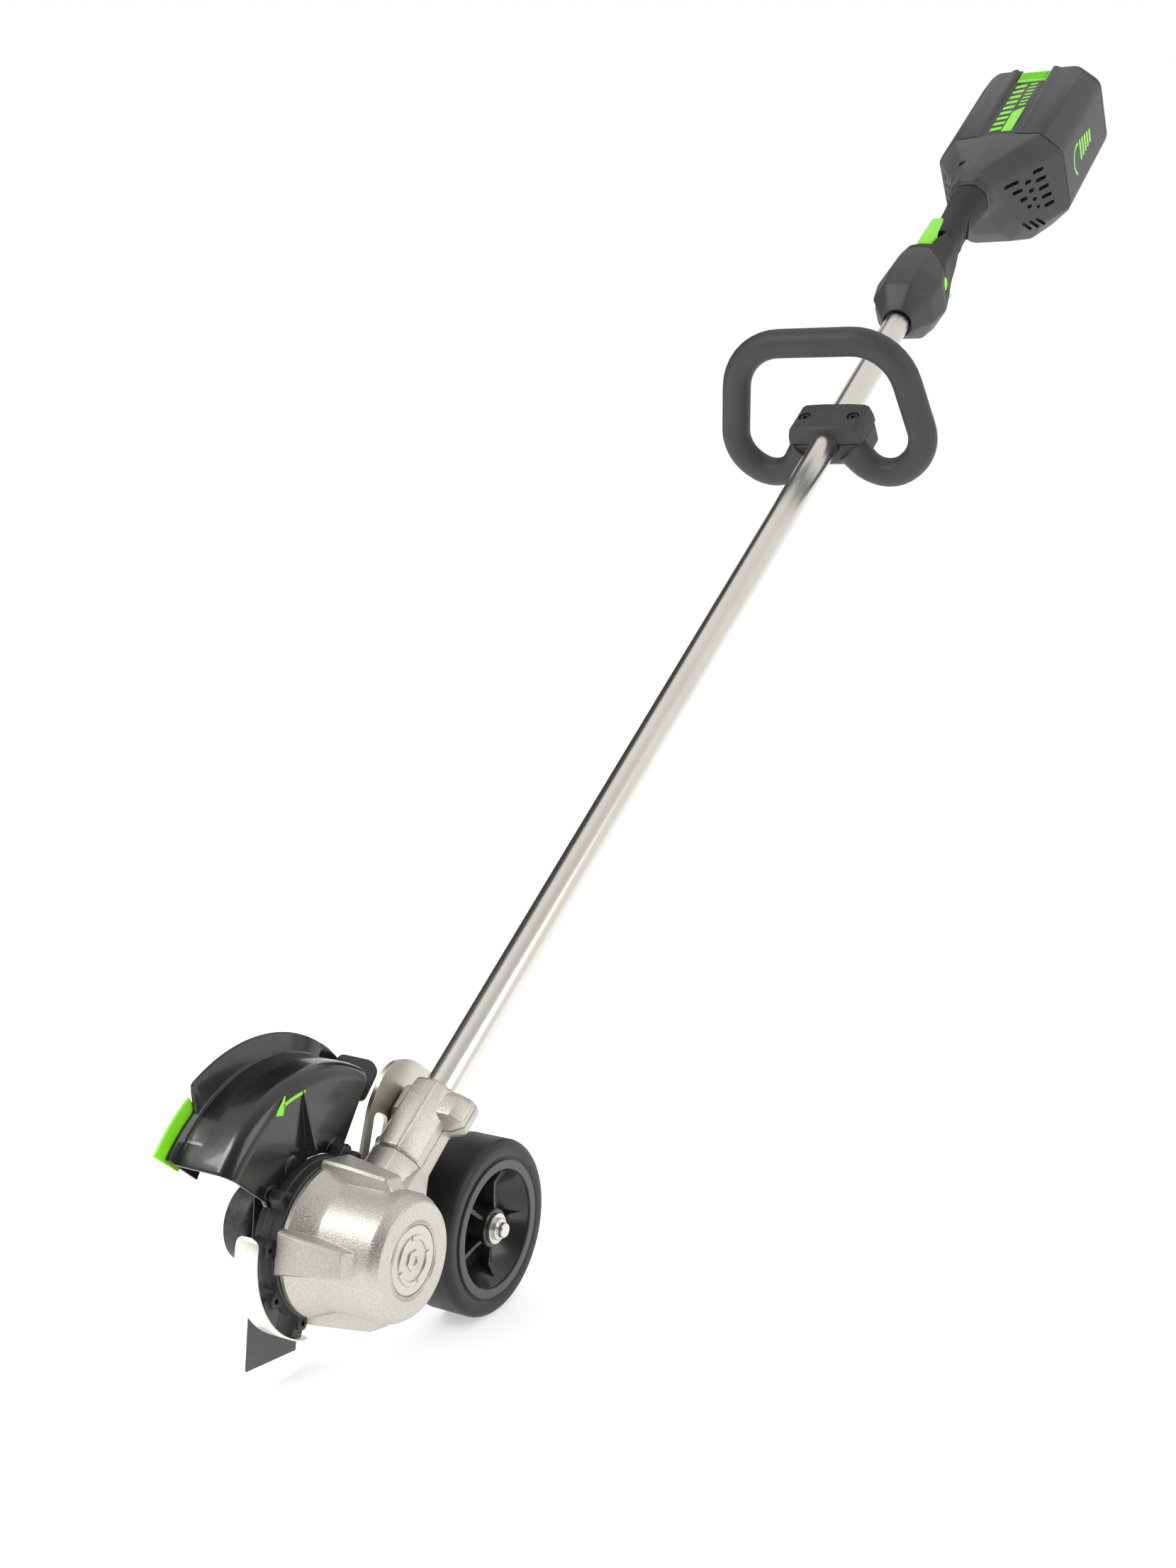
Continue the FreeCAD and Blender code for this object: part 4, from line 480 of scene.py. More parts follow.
# ---------------------------------------------------------------- deflector strip
# A bent band of bright sheet in front of the flange, which keeps grit off the motor.
# Stamped steel with rounded ends, lacquered a warm white silver.
bright_sheet = fine_finish(
    "bright_sheet", 0.0006, ((0.80, 0.78, 0.71, 1), (0.87, 0.85, 0.79, 1)), (0.30, 0.42), 0.00004, 0.0004,
    Metallic=0.75)
STRIP_FROM, STRIP_TO = 161.0, 258.0
STRIP_R, STRIP_THICK = 72.6, 1.4
STRIP_LOW, STRIP_HIGH = 22.0, 42.0
strip_rings = []
for step in range(61):
    angle = STRIP_FROM + (STRIP_TO - STRIP_FROM) * step / 60
    from_end = min(angle - STRIP_FROM, (STRIP_TO - angle) * 0.45) * math.radians(1) * STRIP_R
    round_off = 7.0 - math.sqrt(max(0.0, 49.0 - max(0.0, 7.0 - from_end) ** 2))
    turn = math.radians(angle)
    ring = [(STRIP_R, STRIP_LOW + round_off * 0.6), (STRIP_R + STRIP_THICK, STRIP_LOW + round_off * 0.6),
            (STRIP_R + STRIP_THICK, STRIP_HIGH - round_off), (STRIP_R, STRIP_HIGH - round_off)]
    strip_rings.append([(r * math.cos(turn), r * math.sin(turn), h) for r, h in ring])
strip = softened(drawn("deflector_strip_skin", strip_rings), 0.35, 2, 50.0)
fitted(strip, SPINDLE, bright_sheet, "frame", "bright_steel", "deflector_strip")
dressed("strip_rivets", bright_sheet)

# ---------------------------------------------------------------- blade guard
# The hood over the blade: a side wall, a rounded shoulder, a top and a tall far fin in one moulding.
# Polished black polypropylene, wiped and slightly scuffed, with a tapered rib up its side wall.
GUARD_WALL = 3.0
SIDE_X = 31.5
FIN_X = -21.5
BACK, FRONT = 54.0, 140.0
guard_black = Paint("guard_black", Coat_Roughness=0.06, Coat_IOR=1.5)
peel = guard_black.noise(0.012, 2.0)
dust = guard_black.noise(0.0011, 3.0)
guard_black.put(
    "Base Color", guard_black.mixed(guard_black.spread(dust, 0.45, 0.75), grey(0.006), grey(0.014)))
guard_black.put("Roughness", guard_black.spread(peel + dust * 0.4, 0.4, 1.0, 0.16, 0.30))
guard_black.shader.inputs["Coat Weight"].default_value = 0.35
guard_black.bump(peel, 0.00010, 0.0006)


def hood_radius(angle):
    """The hood's outer radius, which draws in from its rear to its front edge."""
    return 127.0 - 14.5 * (angle - BACK) / (FRONT - BACK)


def fin_radius(angle):
    """The far fin's outer radius: tall over the blade, stepped down behind the sight plate."""
    step = min(max((angle - 117.0) / 4.5, 0.0), 1.0)
    return 139.0 - 19.0 * step * step * (3 - 2 * step)


def hood_ring(angle):
    """The hood's section at an angle: foot, side wall, shoulder, top, fin, and back along the inside."""
    turn = math.radians(angle)
    radius, fin = hood_radius(angle), fin_radius(angle)
    soft = 13.0
    inner = soft - GUARD_WALL
    outside = [(radius - soft + soft * math.sin(a), SIDE_X - soft + soft * math.cos(a))
               for a in (math.radians(9 * i) for i in range(11))]
    inside = [(radius - soft + inner * math.sin(a), SIDE_X - soft + inner * math.cos(a))
              for a in (math.radians(9 * i) for i in range(10, -1, -1))]
    outline = [(58.4, SIDE_X - GUARD_WALL), (58.4, SIDE_X), (70.0, SIDE_X), (90.0, SIDE_X)] + outside + [
        (radius, 0.0), (radius, FIN_X + 5.5), (radius + 1.6, FIN_X + 3.6),
        (fin - 0.8, FIN_X + GUARD_WALL - 0.4), (fin, FIN_X + GUARD_WALL - 1.2), (fin, FIN_X + 0.8),
        (fin - 0.8, FIN_X), (radius - 30.0, FIN_X), (radius - 30.0, FIN_X + GUARD_WALL),
        (radius - GUARD_WALL, FIN_X + GUARD_WALL), (radius - GUARD_WALL, 0.0),] + inside + [(
            90.0, SIDE_X - GUARD_WALL), (70.0, SIDE_X - GUARD_WALL)]
    return [(r * math.cos(turn), r * math.sin(turn), h) for r, h in outline]


hood_steps = [BACK + (FRONT - BACK) * i / 72 for i in range(73)]
hood = softened(drawn("blade_guard_skin", [hood_ring(angle) for angle in hood_steps]), 0.7, 2, 40.0)


def swept(name, outline, start, stop, steps):
    """A stretch of a turned wall between two angles, from an outline of (radius, height)."""
    turns = [math.radians(start + (stop - start) * i / steps) for i in range(steps + 1)]
    return drawn(name, [[(r * math.cos(t), r * math.sin(t), h) for r, h in outline] for t in turns])


back_wall = swept("back_wall", [
    (58.4, 10.0), (58.4, SIDE_X - 1), (112.0, SIDE_X - 1), (122.0, 22.0), (124.5, 12.0), (124.5, FIN_X + 1),
    (109.0, FIN_X + 1), (109.0, 10.0)], BACK - 0.4, BACK + 1.2, 2)
fin_tail = swept("fin_tail", [
    (90.0, FIN_X + 0.05), (138.0, FIN_X + 0.05), (139.0, FIN_X + 1.0), (139.0, FIN_X + 2.0),
    (138.0, FIN_X + GUARD_WALL - 0.05), (90.0, FIN_X + GUARD_WALL - 0.05)], 32.0, BACK + 0.6, 16)
side_rib = drawn("side_rib", [
    [(66.0, side, SIDE_X - 1), (66.0, side * 0.8, SIDE_X + 8.6), (67.5, side * 0.8, SIDE_X + 9.2),
     (109.0, side * 0.5, SIDE_X + 0.9), (117.0, side * 0.4, SIDE_X - 3.4), (110.0, side, SIDE_X - 4.0)]
    for side in (-1.3, 1.3)])
foot_band = turned("foot_band", [
    (58.4, SIDE_X - 4.5), (58.4, SIDE_X + 1.2), (65.5, SIDE_X + 1.2), (66.3, SIDE_X + 0.4),
    (66.3, SIDE_X - 4.5)], 43.0, 98.0, 48)
guard_lugs = [moved(softened(slab(
    f"guard_lug_{i}", [(58.4, -9.0), (66.0, -6.5), (70.0, -3.5), (70.0, 3.5), (66.0, 6.5), (58.4, 9.0)],
    SIDE_X - 4.0, SIDE_X + 0.4, 2.0, 4), 0.4, 2), spun(angle))
              for i, angle in enumerate((49.0, 64.0, 84.0, 109.0, 134.0))]
combined(hood, [back_wall, fin_tail, moved(side_rib, spun(93.0)), foot_band] + guard_lugs)
fitted(hood, SPINDLE, guard_black, "frame", "guard_black", "blade_guard")

# ---------------------------------------------------------------- rotation arrow and sight plate
# A bright arrow let into the side wall shows which way the blade turns.
# The sight plate is a translucent green tab riveted to the fin, which shows where the cut will be.
green = fine_finish(
    "leaf_green", 0.0006, ((0.20, 0.74, 0.003, 1), (0.25, 0.82, 0.005, 1)), (0.30, 0.42), 0.00003, 0.0005,
    tone=0.015, Coat_Roughness=0.12, Coat_Weight=0.25)


def arc_outline(inner, outer, start, stop, steps):
    """A stretch of a flat ring between two radii and two angles."""
    turns = [math.radians(start + (stop - start) * i / steps) for i in range(steps + 1)]
    return ([(outer * math.cos(t), outer * math.sin(t)) for t in turns]
            + [(inner * math.cos(t), inner * math.sin(t)) for t in reversed(turns)])


arrow_stem = arc_outline(107.8, 110.2, 91.5, 104.5, 12)
arrow_head = [(r * math.cos(math.radians(a)), r * math.sin(math.radians(a)))
              for r, a in ((115.2, 102.6), (112.4, 103.3), (108.4, 104.0), (102.6, 106.0), (107.0, 109.8))]
for name, outline in (("arrow_stem", arrow_stem), ("arrow_head", arrow_head)):
    mark = softened(slab(name, outline, SIDE_X - 0.6, SIDE_X + 0.35), 0.15, 2)
    fitted(mark, SPINDLE, green, "frame", "green_plastic")
sight_outline = arc_outline(101.0, 130.0, 119.5, 141.0, 22)
sight = softened(slab("sight_plate_skin", sight_outline, FIN_X - 2.6, FIN_X - 0.1), 0.5, 2)
fitted(sight, SPINDLE, green, "frame", "green_plastic", "sight_plate")

# ---------------------------------------------------------------- debris flap
# A sheet of reinforced rubber hung behind the hood, which stops stones flying back at the user.
flap_rubber = fine_finish(
    "flap_rubber", 0.0008, (grey(0.012), grey(0.024)), (0.55, 0.72), 0.00012, 0.0004, detail=3.0)
flap = drawn("debris_flap_skin", [
    [(r, thick, height) for r, height in eased([
        (107.5, FIN_X + 4.0), (107.5, 22.0), (134.0, 22.0), (141.0, 14.0), (141.5, FIN_X + 4.0)], 5.0)]
    for thick in (-2.5, -0.2)])
fitted(moved(flap, spun(BACK - 9.0)), SPINDLE, flap_rubber, "frame", "grip_rubber", "debris_flap")

# ---------------------------------------------------------------- blade, wear cup and nut
# The blade is a flat bar of hardened steel, ground on its long edges and clamped between seat and cup.
# The cup rides on the soil; its nut and the seat are turned steel.
BLADE_TURN = -7.1
blade_steel = Paint("blade_steel", Metallic=0.85)
scale_marks = blade_steel.noise(0.006, 4.0)
rolled = blade_steel.noise(0.0009, 2.0)
blade_steel.put("Base Color", blade_steel.mixed(scale_marks, grey(0.10), grey(0.15)))
blade_steel.put("Roughness", blade_steel.spread(rolled + scale_marks * 0.5, 0.4, 1.0, 0.42, 0.6))
blade_steel.bump(rolled, 0.00004, 0.0003)
blade = slab("edger_blade_skin", [(-28.5, -101.5), (28.5, -101.5), (28.5, 101.5), (-28.5, 101.5)], -1.25,
             1.25, 1.0, 3)
bpy.ops.object.mode_set(mode="EDIT")
mesh = bmesh.from_edit_mesh(blade.data)
for face in mesh.faces:
    face.select_set(abs(face.normal.z) > 0.9)
bpy.ops.mesh.inset(thickness=4.0, depth=0.0)
mesh = bmesh.from_edit_mesh(blade.data)
for vert in mesh.verts:
    if max(abs(vert.co.x) / 28.5, abs(vert.co.y) / 101.5) > 0.99:
        vert.co.z *= 0.35
bmesh.update_edit_mesh(blade.data)
bpy.ops.object.mode_set(mode="OBJECT")
combined(blade, [peg("blade_bore", 12.7, -5, 5, sides=64)], "DIFFERENCE")
fitted(blade, SPINDLE @ spun(BLADE_TURN), blade_steel, "cutter", "blade_steel", "edger_blade", smooth=12.0)

cup_steel = Paint("cup_steel", Metallic=0.4)
worn = cup_steel.noise(0.004, 4.0)
cup_steel.put("Base Color", cup_steel.mixed(cup_steel.spread(worn, 0.4, 0.7), grey(0.030), grey(0.060)))
cup_steel.put("Roughness", cup_steel.spread(worn, 0.3, 0.7, 0.36, 0.52))
cup_steel.bump(worn, 0.00006, 0.0005)
cup = turned("wear_cup_skin", [
    (5.2, -1.3), (27.0, -1.3), (30.6, -3.6), (31.8, -6.0), (32.0, -9.0), (32.0, -14.0), (30.6, -25.4),
    (29.8, -26.2), (28.2, -26.2), (27.4, -25.4), (28.8, -6.6), (27.8, -5.3), (5.2, -5.3)])
fitted(cup, SPINDLE, cup_steel, "cutter", "dark_steel", "wear_cup")

# ---------------------------------------------------------------- wheel bracket
# A pressed alloy plate bolted to the neck, which carries the guide wheel's axle in an upright slot.
# Deburred edges; lacquered like the casting but smoother.
plate_alloy = fine_finish(
    "plate_alloy", 0.0007, ((0.55, 0.525, 0.47, 1), (0.64, 0.615, 0.56, 1)), (0.32, 0.44), 0.00008, 0.0007,
    tone=0.04, Metallic=1.0)
BRACKET_FROM, BRACKET_TO = 26.05, 29.95
bracket = slab("wheel_bracket_skin", eased(
    [(60, 26), (76, 74), (94, 95), (108, 99.5), (130, 95), (172, 64), (196, 38), (210.5, 5), (206, -34),
     (189, -66), (176, -80), (163, -84), (150, -80), (137, -66), (126, -34), (108, -12), (84, -4), (66, 8)],
    9.0), BRACKET_FROM, BRACKET_TO)
windows = [
    slab("window", [(70.0, 31.0), (87.0, 32.0), (98.0, 58.0), (81.0, 68.0)], 20.0, 36.0, 6.0, 5),
    slab("gap", [(138.0, -6.0), (194.0, -8.0), (196.0, 10.0), (176.0, 24.0), (146.0, 22.0)], 20.0, 36.0,
         6.0, 5),
    slab("axle_slot", [(156.6, -66.0), (169.4, -66.0), (169.4, -26.2), (156.6, -26.2)], 20.0, 36.0, 6.2, 8)]
combined(bracket, windows, "DIFFERENCE")
fitted(bracket, SPINDLE, plate_alloy, "frame", "cast_alloy", "wheel_bracket", smooth=40.0)

# ---------------------------------------------------------------- guide wheel
# A solid rubber tyre on a moulded rim with a deep dished web, which sets how deep the blade cuts.
# The rim turns on two bushes; its outer lip is a paler grey than the well.
WHEEL = Matrix.Translation((0, 0.163, -0.0445)) @ SPINDLE
tyre_rubber = Paint("tyre_rubber")
pores = tyre_rubber.noise(0.0009, 3.0)
scuff = tyre_rubber.noise(0.02, 3.0)
tyre_rubber.put("Base Color", tyre_rubber.mixed(scuff, grey(0.0035), grey(0.007)))
tyre_rubber.put("Roughness", tyre_rubber.spread(pores + scuff * 0.5, 0.4, 1.1, 0.36, 0.55))
tyre_rubber.bump(pores, 0.00008)


def rounded_corner(radius, height, soft, start, steps=6):
    """Points round a corner of a turned outline, a quarter turn from a start angle."""
    return [(radius + soft * math.cos(math.radians(start + 90 * i / steps)),
             height + soft * math.sin(math.radians(start + 90 * i / steps))) for i in range(steps + 1)]


tyre = turned(
    "wheel_tyre_skin", [(54.6, 45.2), (61.0, 43.6)] + rounded_corner(64.4, 48.4, 5.6, -80, 6)
    + rounded_corner(63.2, 79.2, 6.8, 0, 8) + [(60.2, 86.0), (57.0, 85.4), (56.0, 84.6), (54.6, 84.6)],
    steps=128)
fitted(tyre, WHEEL, tyre_rubber, "wheel", "tyre_rubber", "wheel_tyre")

rim_grey = fine_finish(
    "rim_grey", 0.0006, (grey(0.060), grey(0.078)), (0.36, 0.48), 0.00004, 0.0006, Specular_IOR_Level=0.45)
well_black = fine_finish(
    "well_black", 0.0008, (grey(0.008), grey(0.014)), (0.20, 0.32), 0.00003, 0.0006, Coat_Roughness=0.1,
    Coat_Weight=0.3)
rim_ring = turned("rim_ring", [
    (47.2, 84.2), (47.2, 85.8), (47.8, 86.4), (54.0, 86.4), (54.5, 85.9), (54.5, 45.4), (50.6, 45.4),
    (50.6, 82.0)], steps=128)
fitted(rim_ring, WHEEL, rim_grey, "wheel", "grey_plastic", "wheel_rim")
web = turned("rim_web", [
    (8.1, 43.6), (15.0, 43.6), (15.0, 58.0), (50.5, 52.0), (50.5, 81.9), (47.1, 84.1), (44.5, 80.0),
    (34.0, 64.5), (30.0, 62.0), (15.5, 62.0), (15.5, 82.0), (14.6, 83.0), (8.1, 83.0)], steps=128)
spokes = []
for i in range(5):
    spoke = drawn(f"spoke_{i}", [[
        (12.0, side, 60.0), (12.0, side, 80.0), (22.0, side, 76.5), (34.0, side * 1.4, 74.0),
        (46.5, side * 2.2, 81.0), (46.5, side * 2.2, 60.0)] for side in (-1.7, 1.7)])
    spokes.append(moved(softened(spoke, 0.5, 2), spun(64 + i * 72)))
combined(web, spokes)
fitted(web, WHEEL, well_black, "wheel", "grey_plastic")

# ---------------------------------------------------------------- axle
# A shouldered steel pin through the rim's bushes, zinc plated, with a domed head over a washer.
zinc = fine_finish(
    "zinc_plate", 0.0015, ((0.60, 0.585, 0.545, 1), (0.74, 0.725, 0.68, 1)), (0.24, 0.38), 0.00003, 0.0004,
    detail=3.0, Metallic=1.0)
axle = turned("wheel_axle_skin", [
    (0, 12.0), (5.4, 12.0), (6.0, 12.6), (6.0, 84.9), (8.2, 84.9), (8.8, 85.5), (8.8, 88.0), (8.2, 88.7),
    (6.2, 89.0), (6.0, 89.4), (6.0, 92.0), (5.2, 93.0), (3.4, 93.3), (0, 93.3)], steps=64)
fitted(axle, WHEEL, zinc, "wheel_carrier", "bright_steel", "wheel_axle")

# ---------------------------------------------------------------- loop handle
# One moulding of glass-filled nylon: a lower jaw under the tube and a closed loop that rises round it.
# It leans back from the jaw, and its bar is oval where the hands hold it.
handle_nylon = fine_finish(
    "handle_nylon", 0.0011, (grey(0.034), grey(0.046)), (0.46, 0.60), 0.00012, tone=0.03,
    Specular_IOR_Level=0.4)
HANDLE_AT = 1034.0
CLAMP_FROM, CLAMP_TO = HANDLE_AT - 22.5, HANDLE_AT + 22.5
LEAN_BACK = Matrix.Translation((0, HANDLE_AT - 14.0, 0)) @ Matrix.Rotation(math.radians(-11.0), 4, "X")


def bent_path(corners, radii, steps=9):
    """Places and directions along straight runs joined by arcs, in a plane."""
    places = [(Vector(corners[0]), (Vector(corners[1]) - Vector(corners[0])).normalized())]
    for before, corner, after, radius in zip(corners, corners[1:], corners[2:], radii):
        corner = Vector(corner)
        back, ahead = (Vector(before) - corner).normalized(), (Vector(after) - corner).normalized()
        half_turn = back.angle(ahead) / 2
        centre = corner + (back + ahead).normalized() * (radius / math.sin(half_turn))
        start = corner + back * (radius / math.tan(half_turn)) - centre
        bend = math.pi - 2 * half_turn
        way = 1 if start.cross(-back) > 0 else -1
        for i in range(steps + 1):
            spoke = Matrix.Rotation(way * bend * i / steps, 2) @ start
            ahead_here = Vector((-spoke.y, spoke.x)).normalized() * way
            places.append((centre + spoke, ahead_here))
    last = Vector(corners[-1])
    places.append((last, (last - Vector(corners[-2])).normalized()))
    return places


def remeshed(piece, voxel, smoothing):
    """Give a joined piece one even skin, and relax it so that its inner corners become fillets."""
    skin = piece.modifiers.new("skin", "REMESH")
    skin.mode, skin.voxel_size, skin.use_smooth_shade = "VOXEL", voxel, True
    relax = piece.modifiers.new("relax", "SMOOTH")
    relax.factor, relax.iterations = 0.5, smoothing
    applied(piece)
    return piece


half_loop = [(26, -10), (58.3, -52), (108, -10.4), (86, 105.5)]
loop_corners = [(-x, n) for x, n in half_loop] + half_loop[::-1]
BAR_R = 14.9
loop_rings = []
for place, ahead in bent_path(loop_corners, (36, 40, 56, 56, 40, 36)):
    aside = Vector((-ahead.y, ahead.x))
    thick = BAR_R + 3.0 * max(0.0, 1.0 - (abs(place.x) - 26.0) / 22.0) * (place.y < 40)
    ring = []
    for i in range(28):
        a = 2 * math.pi * i / 28
        flat = place + aside * (thick * math.cos(a))
        ring.append((flat.x, BAR_R * math.sin(a), flat.y))
    loop_rings.append(ring)
loop = moved(drawn("loop_handle_skin", loop_rings), LEAN_BACK)
jaw = rounded("jaw", (-40.0, CLAMP_FROM, -25.0), (40.0, CLAMP_TO, 0.0), 3.0)
jaw_rib = rounded("jaw_rib", (-17.0, CLAMP_FROM + 3, -29.0), (17.0, CLAMP_TO - 3, -10.0), 4.0)
combined(loop, [jaw, jaw_rib])
upper_room = brick("upper_room", (-42.0, CLAMP_FROM - 5, 0.0), (42.0, CLAMP_TO + 5, 22.0))
handle_bore = peg("handle_bore", TUBE_R + 0.1, CLAMP_FROM - 30, CLAMP_TO + 30, turn=along_neck, sides=64)
nut_ways = [peg(f"nut_way_{side}", 6.2, -40.0, -20.2, (27.0 * side, HANDLE_AT), 6) for side in (-1, 1)]
combined(loop, [upper_room, handle_bore] + nut_ways, "DIFFERENCE")
remeshed(loop, 1.25, 5)
fitted(loop, SHAFT, handle_nylon, "handle", "grey_plastic", "loop_handle", smooth=60.0)

# ---------------------------------------------------------------- handle clamp cap
# The upper jaw, crowned across its top, with two deep counterbores for its bolts.
clamp_cap = drawn("handle_clamp_cap_skin", [
    [(-41.0 + cut, along, 0.4), (-40.2 + cut, along, 9.0), (-37.4 + cut, along, 17.6 - cut),
     (-33.0 + cut, along, 19.9 - cut), (-16.0, along, 20.9 - cut), (16.0, along, 20.9 - cut),
     (33.0 - cut, along, 19.9 - cut), (37.4 - cut, along, 17.6 - cut), (40.2 - cut, along, 9.0),
     (41.0 - cut, along, 0.4)]
    for along, cut in ((CLAMP_FROM, 1.4), (CLAMP_FROM + 1.6, 0.2), (CLAMP_TO - 1.6, 0.2), (CLAMP_TO, 1.4))])
counterbores = [
    peg(f"counterbore_{side}", 6.6, 14.2, 30.0, (27.0 * side, HANDLE_AT), 40) for side in (-1, 1)]
cap_tube_way = peg("cap_tube_way", TUBE_R + 0.1, CLAMP_FROM - 10, CLAMP_TO + 10, turn=along_neck, sides=64)
combined(clamp_cap, counterbores + [cap_tube_way], "DIFFERENCE")
fitted(clamp_cap, SHAFT, handle_nylon, "handle", "grey_plastic", "handle_clamp_cap", smooth=24.0)

# ---------------------------------------------------------------- rear shells: fore housing
# Two mirrored nylon shells meet on a seam down the middle. The fore housing closes round the tube's end.
# Screws draw the shells together from the left, at the bottom of small square pockets.
FORE_FROM, GRIP_FROM, GRIP_TO, COLLAR_TO, BAY_FROM, BAY_TO = 1248.0, 1400.0, 1522.0, 1546.0, 1648.0, 1826.0
SEAM = 0.06
shell_nylon = fine_finish(
    "shell_nylon", 0.0009, (grey(0.036), grey(0.046)), (0.40, 0.52), 0.00008, tone=0.04,
    Specular_IOR_Level=0.45)


def half_rings(sections, soft):
    """Rings of a right-hand shell from (along, crown, corners), closed on the seam, with eased corners."""
    return [[(x, along, n)
             for x, n in eased([(SEAM, crown)] + corners + [(SEAM, corners[-1][1])], soft, 4, True)]
            for along, crown, corners in sections]


def copied(piece, name):
    """A second piece of the same shape, with a mesh of its own."""
    twin = piece.copy()
    twin.data = piece.data.copy()
    twin.name = name
    bpy.context.scene.collection.objects.link(twin)
    return twin


def mirrored(piece, name):
    """The left-hand twin of a right-hand piece."""
    twin = copied(piece, name)
    twin.data.transform(Matrix.Diagonal((-1, 1, 1, 1)))
    twin.data.flip_normals()
    return twin


fore_right = drawn("grip_shell_right_fore", flowing(half_rings([
    (FORE_FROM, 17.4, [(8.6, 17.0), (17.0, 8.6), (17.0, -8.6), (8.6, -17.0)]),
    (FORE_FROM + 3, 20.6, [(10.0, 20.0), (20.0, 10.0), (20.0, -10.0), (10.0, -20.0)]),
    (FORE_FROM + 24, 37.6, [(16.0, 36.4), (34.0, 17.0), (34.0, -14.0), (15.0, -35.0)]),
    (FORE_FROM + 52, 40.4, [(17.6, 39.4), (38.6, 18.0), (38.6, -16.0), (18.0, -40.4)]),
    (FORE_FROM + 84, 40.6, [(16.6, 39.6), (33.6, 20.0), (32.0, -16.0), (16.0, -39.4)]),
    (FORE_FROM + 106, 39.6, [(13.0, 38.0), (27.0, 16.0), (27.0, -15.0), (14.0, -37.0)]),
    (FORE_FROM + 116, 30.6, [(12.0, 29.4), (25.4, 13.0), (25.4, -14.0), (13.0, -33.0)]),
    (FORE_FROM + 140, 26.6, [(11.0, 25.6), (22.6, 11.0), (22.6, -12.0), (12.0, -28.4)]),
    (FORE_FROM + 160, 20.6, [(9.0, 19.8), (19.4, 9.0), (19.4, -10.0), (10.0, -23.0)]),
    (FORE_FROM + 172, 18.6, [(8.6, 17.8), (17.6, 8.6), (17.6, -9.0), (9.0, -19.0)])], 3.0), 4.0))
tube_entry = peg("tube_entry", TUBE_R + 2.6, FORE_FROM - 5, FORE_FROM + 5.5, turn=along_neck, sides=64)
tube_seat = peg("tube_seat", TUBE_R + 0.05, FORE_FROM - 5, FORE_FROM + 80, turn=along_neck, sides=64)
trigger_way = brick("trigger_way", (-7.4, 1346.0, -60.0), (7.4, 1416.0, -6.0))
lever_way = brick("lever_way", (-7.0, 1352.0, 8.0), (7.0, 1418.0, 38.0))
BUTTON_AT = (1320.0, 5.0)
across = Matrix.Rotation(math.radians(90), 4, "Y")
button_way = moved(
    peg("button_way", 8.9, 18.0, 60.0, sides=48), Matrix.Translation((0, *BUTTON_AT)) @ across)
combined(fore_right, [tube_entry, tube_seat, trigger_way, lever_way, button_way], "DIFFERENCE")


def boot_room(name):
    """The room behind the slanted line where the rubber of the grip starts on the fore housing."""
    return drawn(name, [[(x, along, n) for along, n in eased(
        [(1305.0, -70.0), (1305.0, 4.0), (1335.0, 30.0), (1352.0, 50.0), (1480.0, 50.0), (1480.0, -70.0)],
        9.0)] for x in (-60.0, 60.0)])


boot_right = copied(fore_right, "grip_boot_right")
boot_left = mirrored(fore_right, "grip_boot_left")
combined(boot_right, [boot_room("boot_room_right")], "INTERSECT")
combined(boot_left, [boot_room("boot_room_left")], "INTERSECT")
combined(fore_right, [boot_room("boot_room_shell")], "DIFFERENCE")
fore_left = mirrored(fore_right, "grip_shell_left_fore")
fore_pocket = rounded("fore_pocket", (-60.0, 1266.0, 5.0), (-24.0, 1278.0, 15.0), 1.5)
combined(fore_left, [fore_pocket], "DIFFERENCE")

# ---------------------------------------------------------------- rear shells: collar and bell
# Behind the grip the shells flare into a bell in front of the battery, with cooling slots on each flank.
bell_right = drawn("grip_shell_right_bell", flowing(half_rings([
    (GRIP_TO, 22.4, [(9.6, 22.0), (22.0, 9.6), (22.0, -9.6), (9.6, -22.0)]),
    (GRIP_TO + 7, 24.0, [(10.2, 23.6), (23.6, 10.2), (23.6, -10.2), (10.2, -23.6)]),
    (GRIP_TO + 9, 26.6, [(11.2, 26.2), (26.2, 11.2), (26.2, -11.2), (11.2, -26.2)]),
    (COLLAR_TO - 5, 27.4, [(11.4, 27.0), (27.0, 11.4), (27.0, -11.4), (11.4, -27.0)]),
    (COLLAR_TO + 2, 28.0, [(13.0, 27.2), (29.6, 10.6), (29.6, -18.0), (13.4, -34.0)]),
    (COLLAR_TO + 14, 28.2, [(17.6, 26.2), (33.8, 8.8), (33.6, -42.0), (16.6, -64.0)]),
    (COLLAR_TO + 30, 27.8, [(24.2, 25.0), (42.0, 6.2), (43.0, -64.0), (24.0, -84.0)]),
    (COLLAR_TO + 58, 26.4, [(36.0, 23.0), (56.8, 1.9), (60.0, -76.0), (40.0, -97.5)]),
    (BAY_FROM - 1.6, 23.6, [(53.4, 19.8), (78.8, -5.2), (78.8, -81.8), (51.8, -103.4)]),
    (BAY_FROM - 0.6, 22.6, [(52.4, 18.8), (77.6, -5.8), (77.6, -81.2), (51.2, -102.2)])], 4.0), 3.0))


def facet_frame(along, across_height):
    """The frame of a slot on the bell's flank: local x up the flank, y down it and z out of it."""
    share = (along - COLLAR_TO) / 102.0
    up = Vector((53.5, 102.0, -15.0)).normalized()
    down = Vector((0.04, 0.0, -1.0))
    out = up.cross(down).normalized() * -1
    down = out.cross(up).normalized()
    place = Vector((26.0 + 53.5 * share, along, across_height))
    frame_here = Matrix((up, down, out)).transposed().to_4x4()
    frame_here.translation = place
    return frame_here


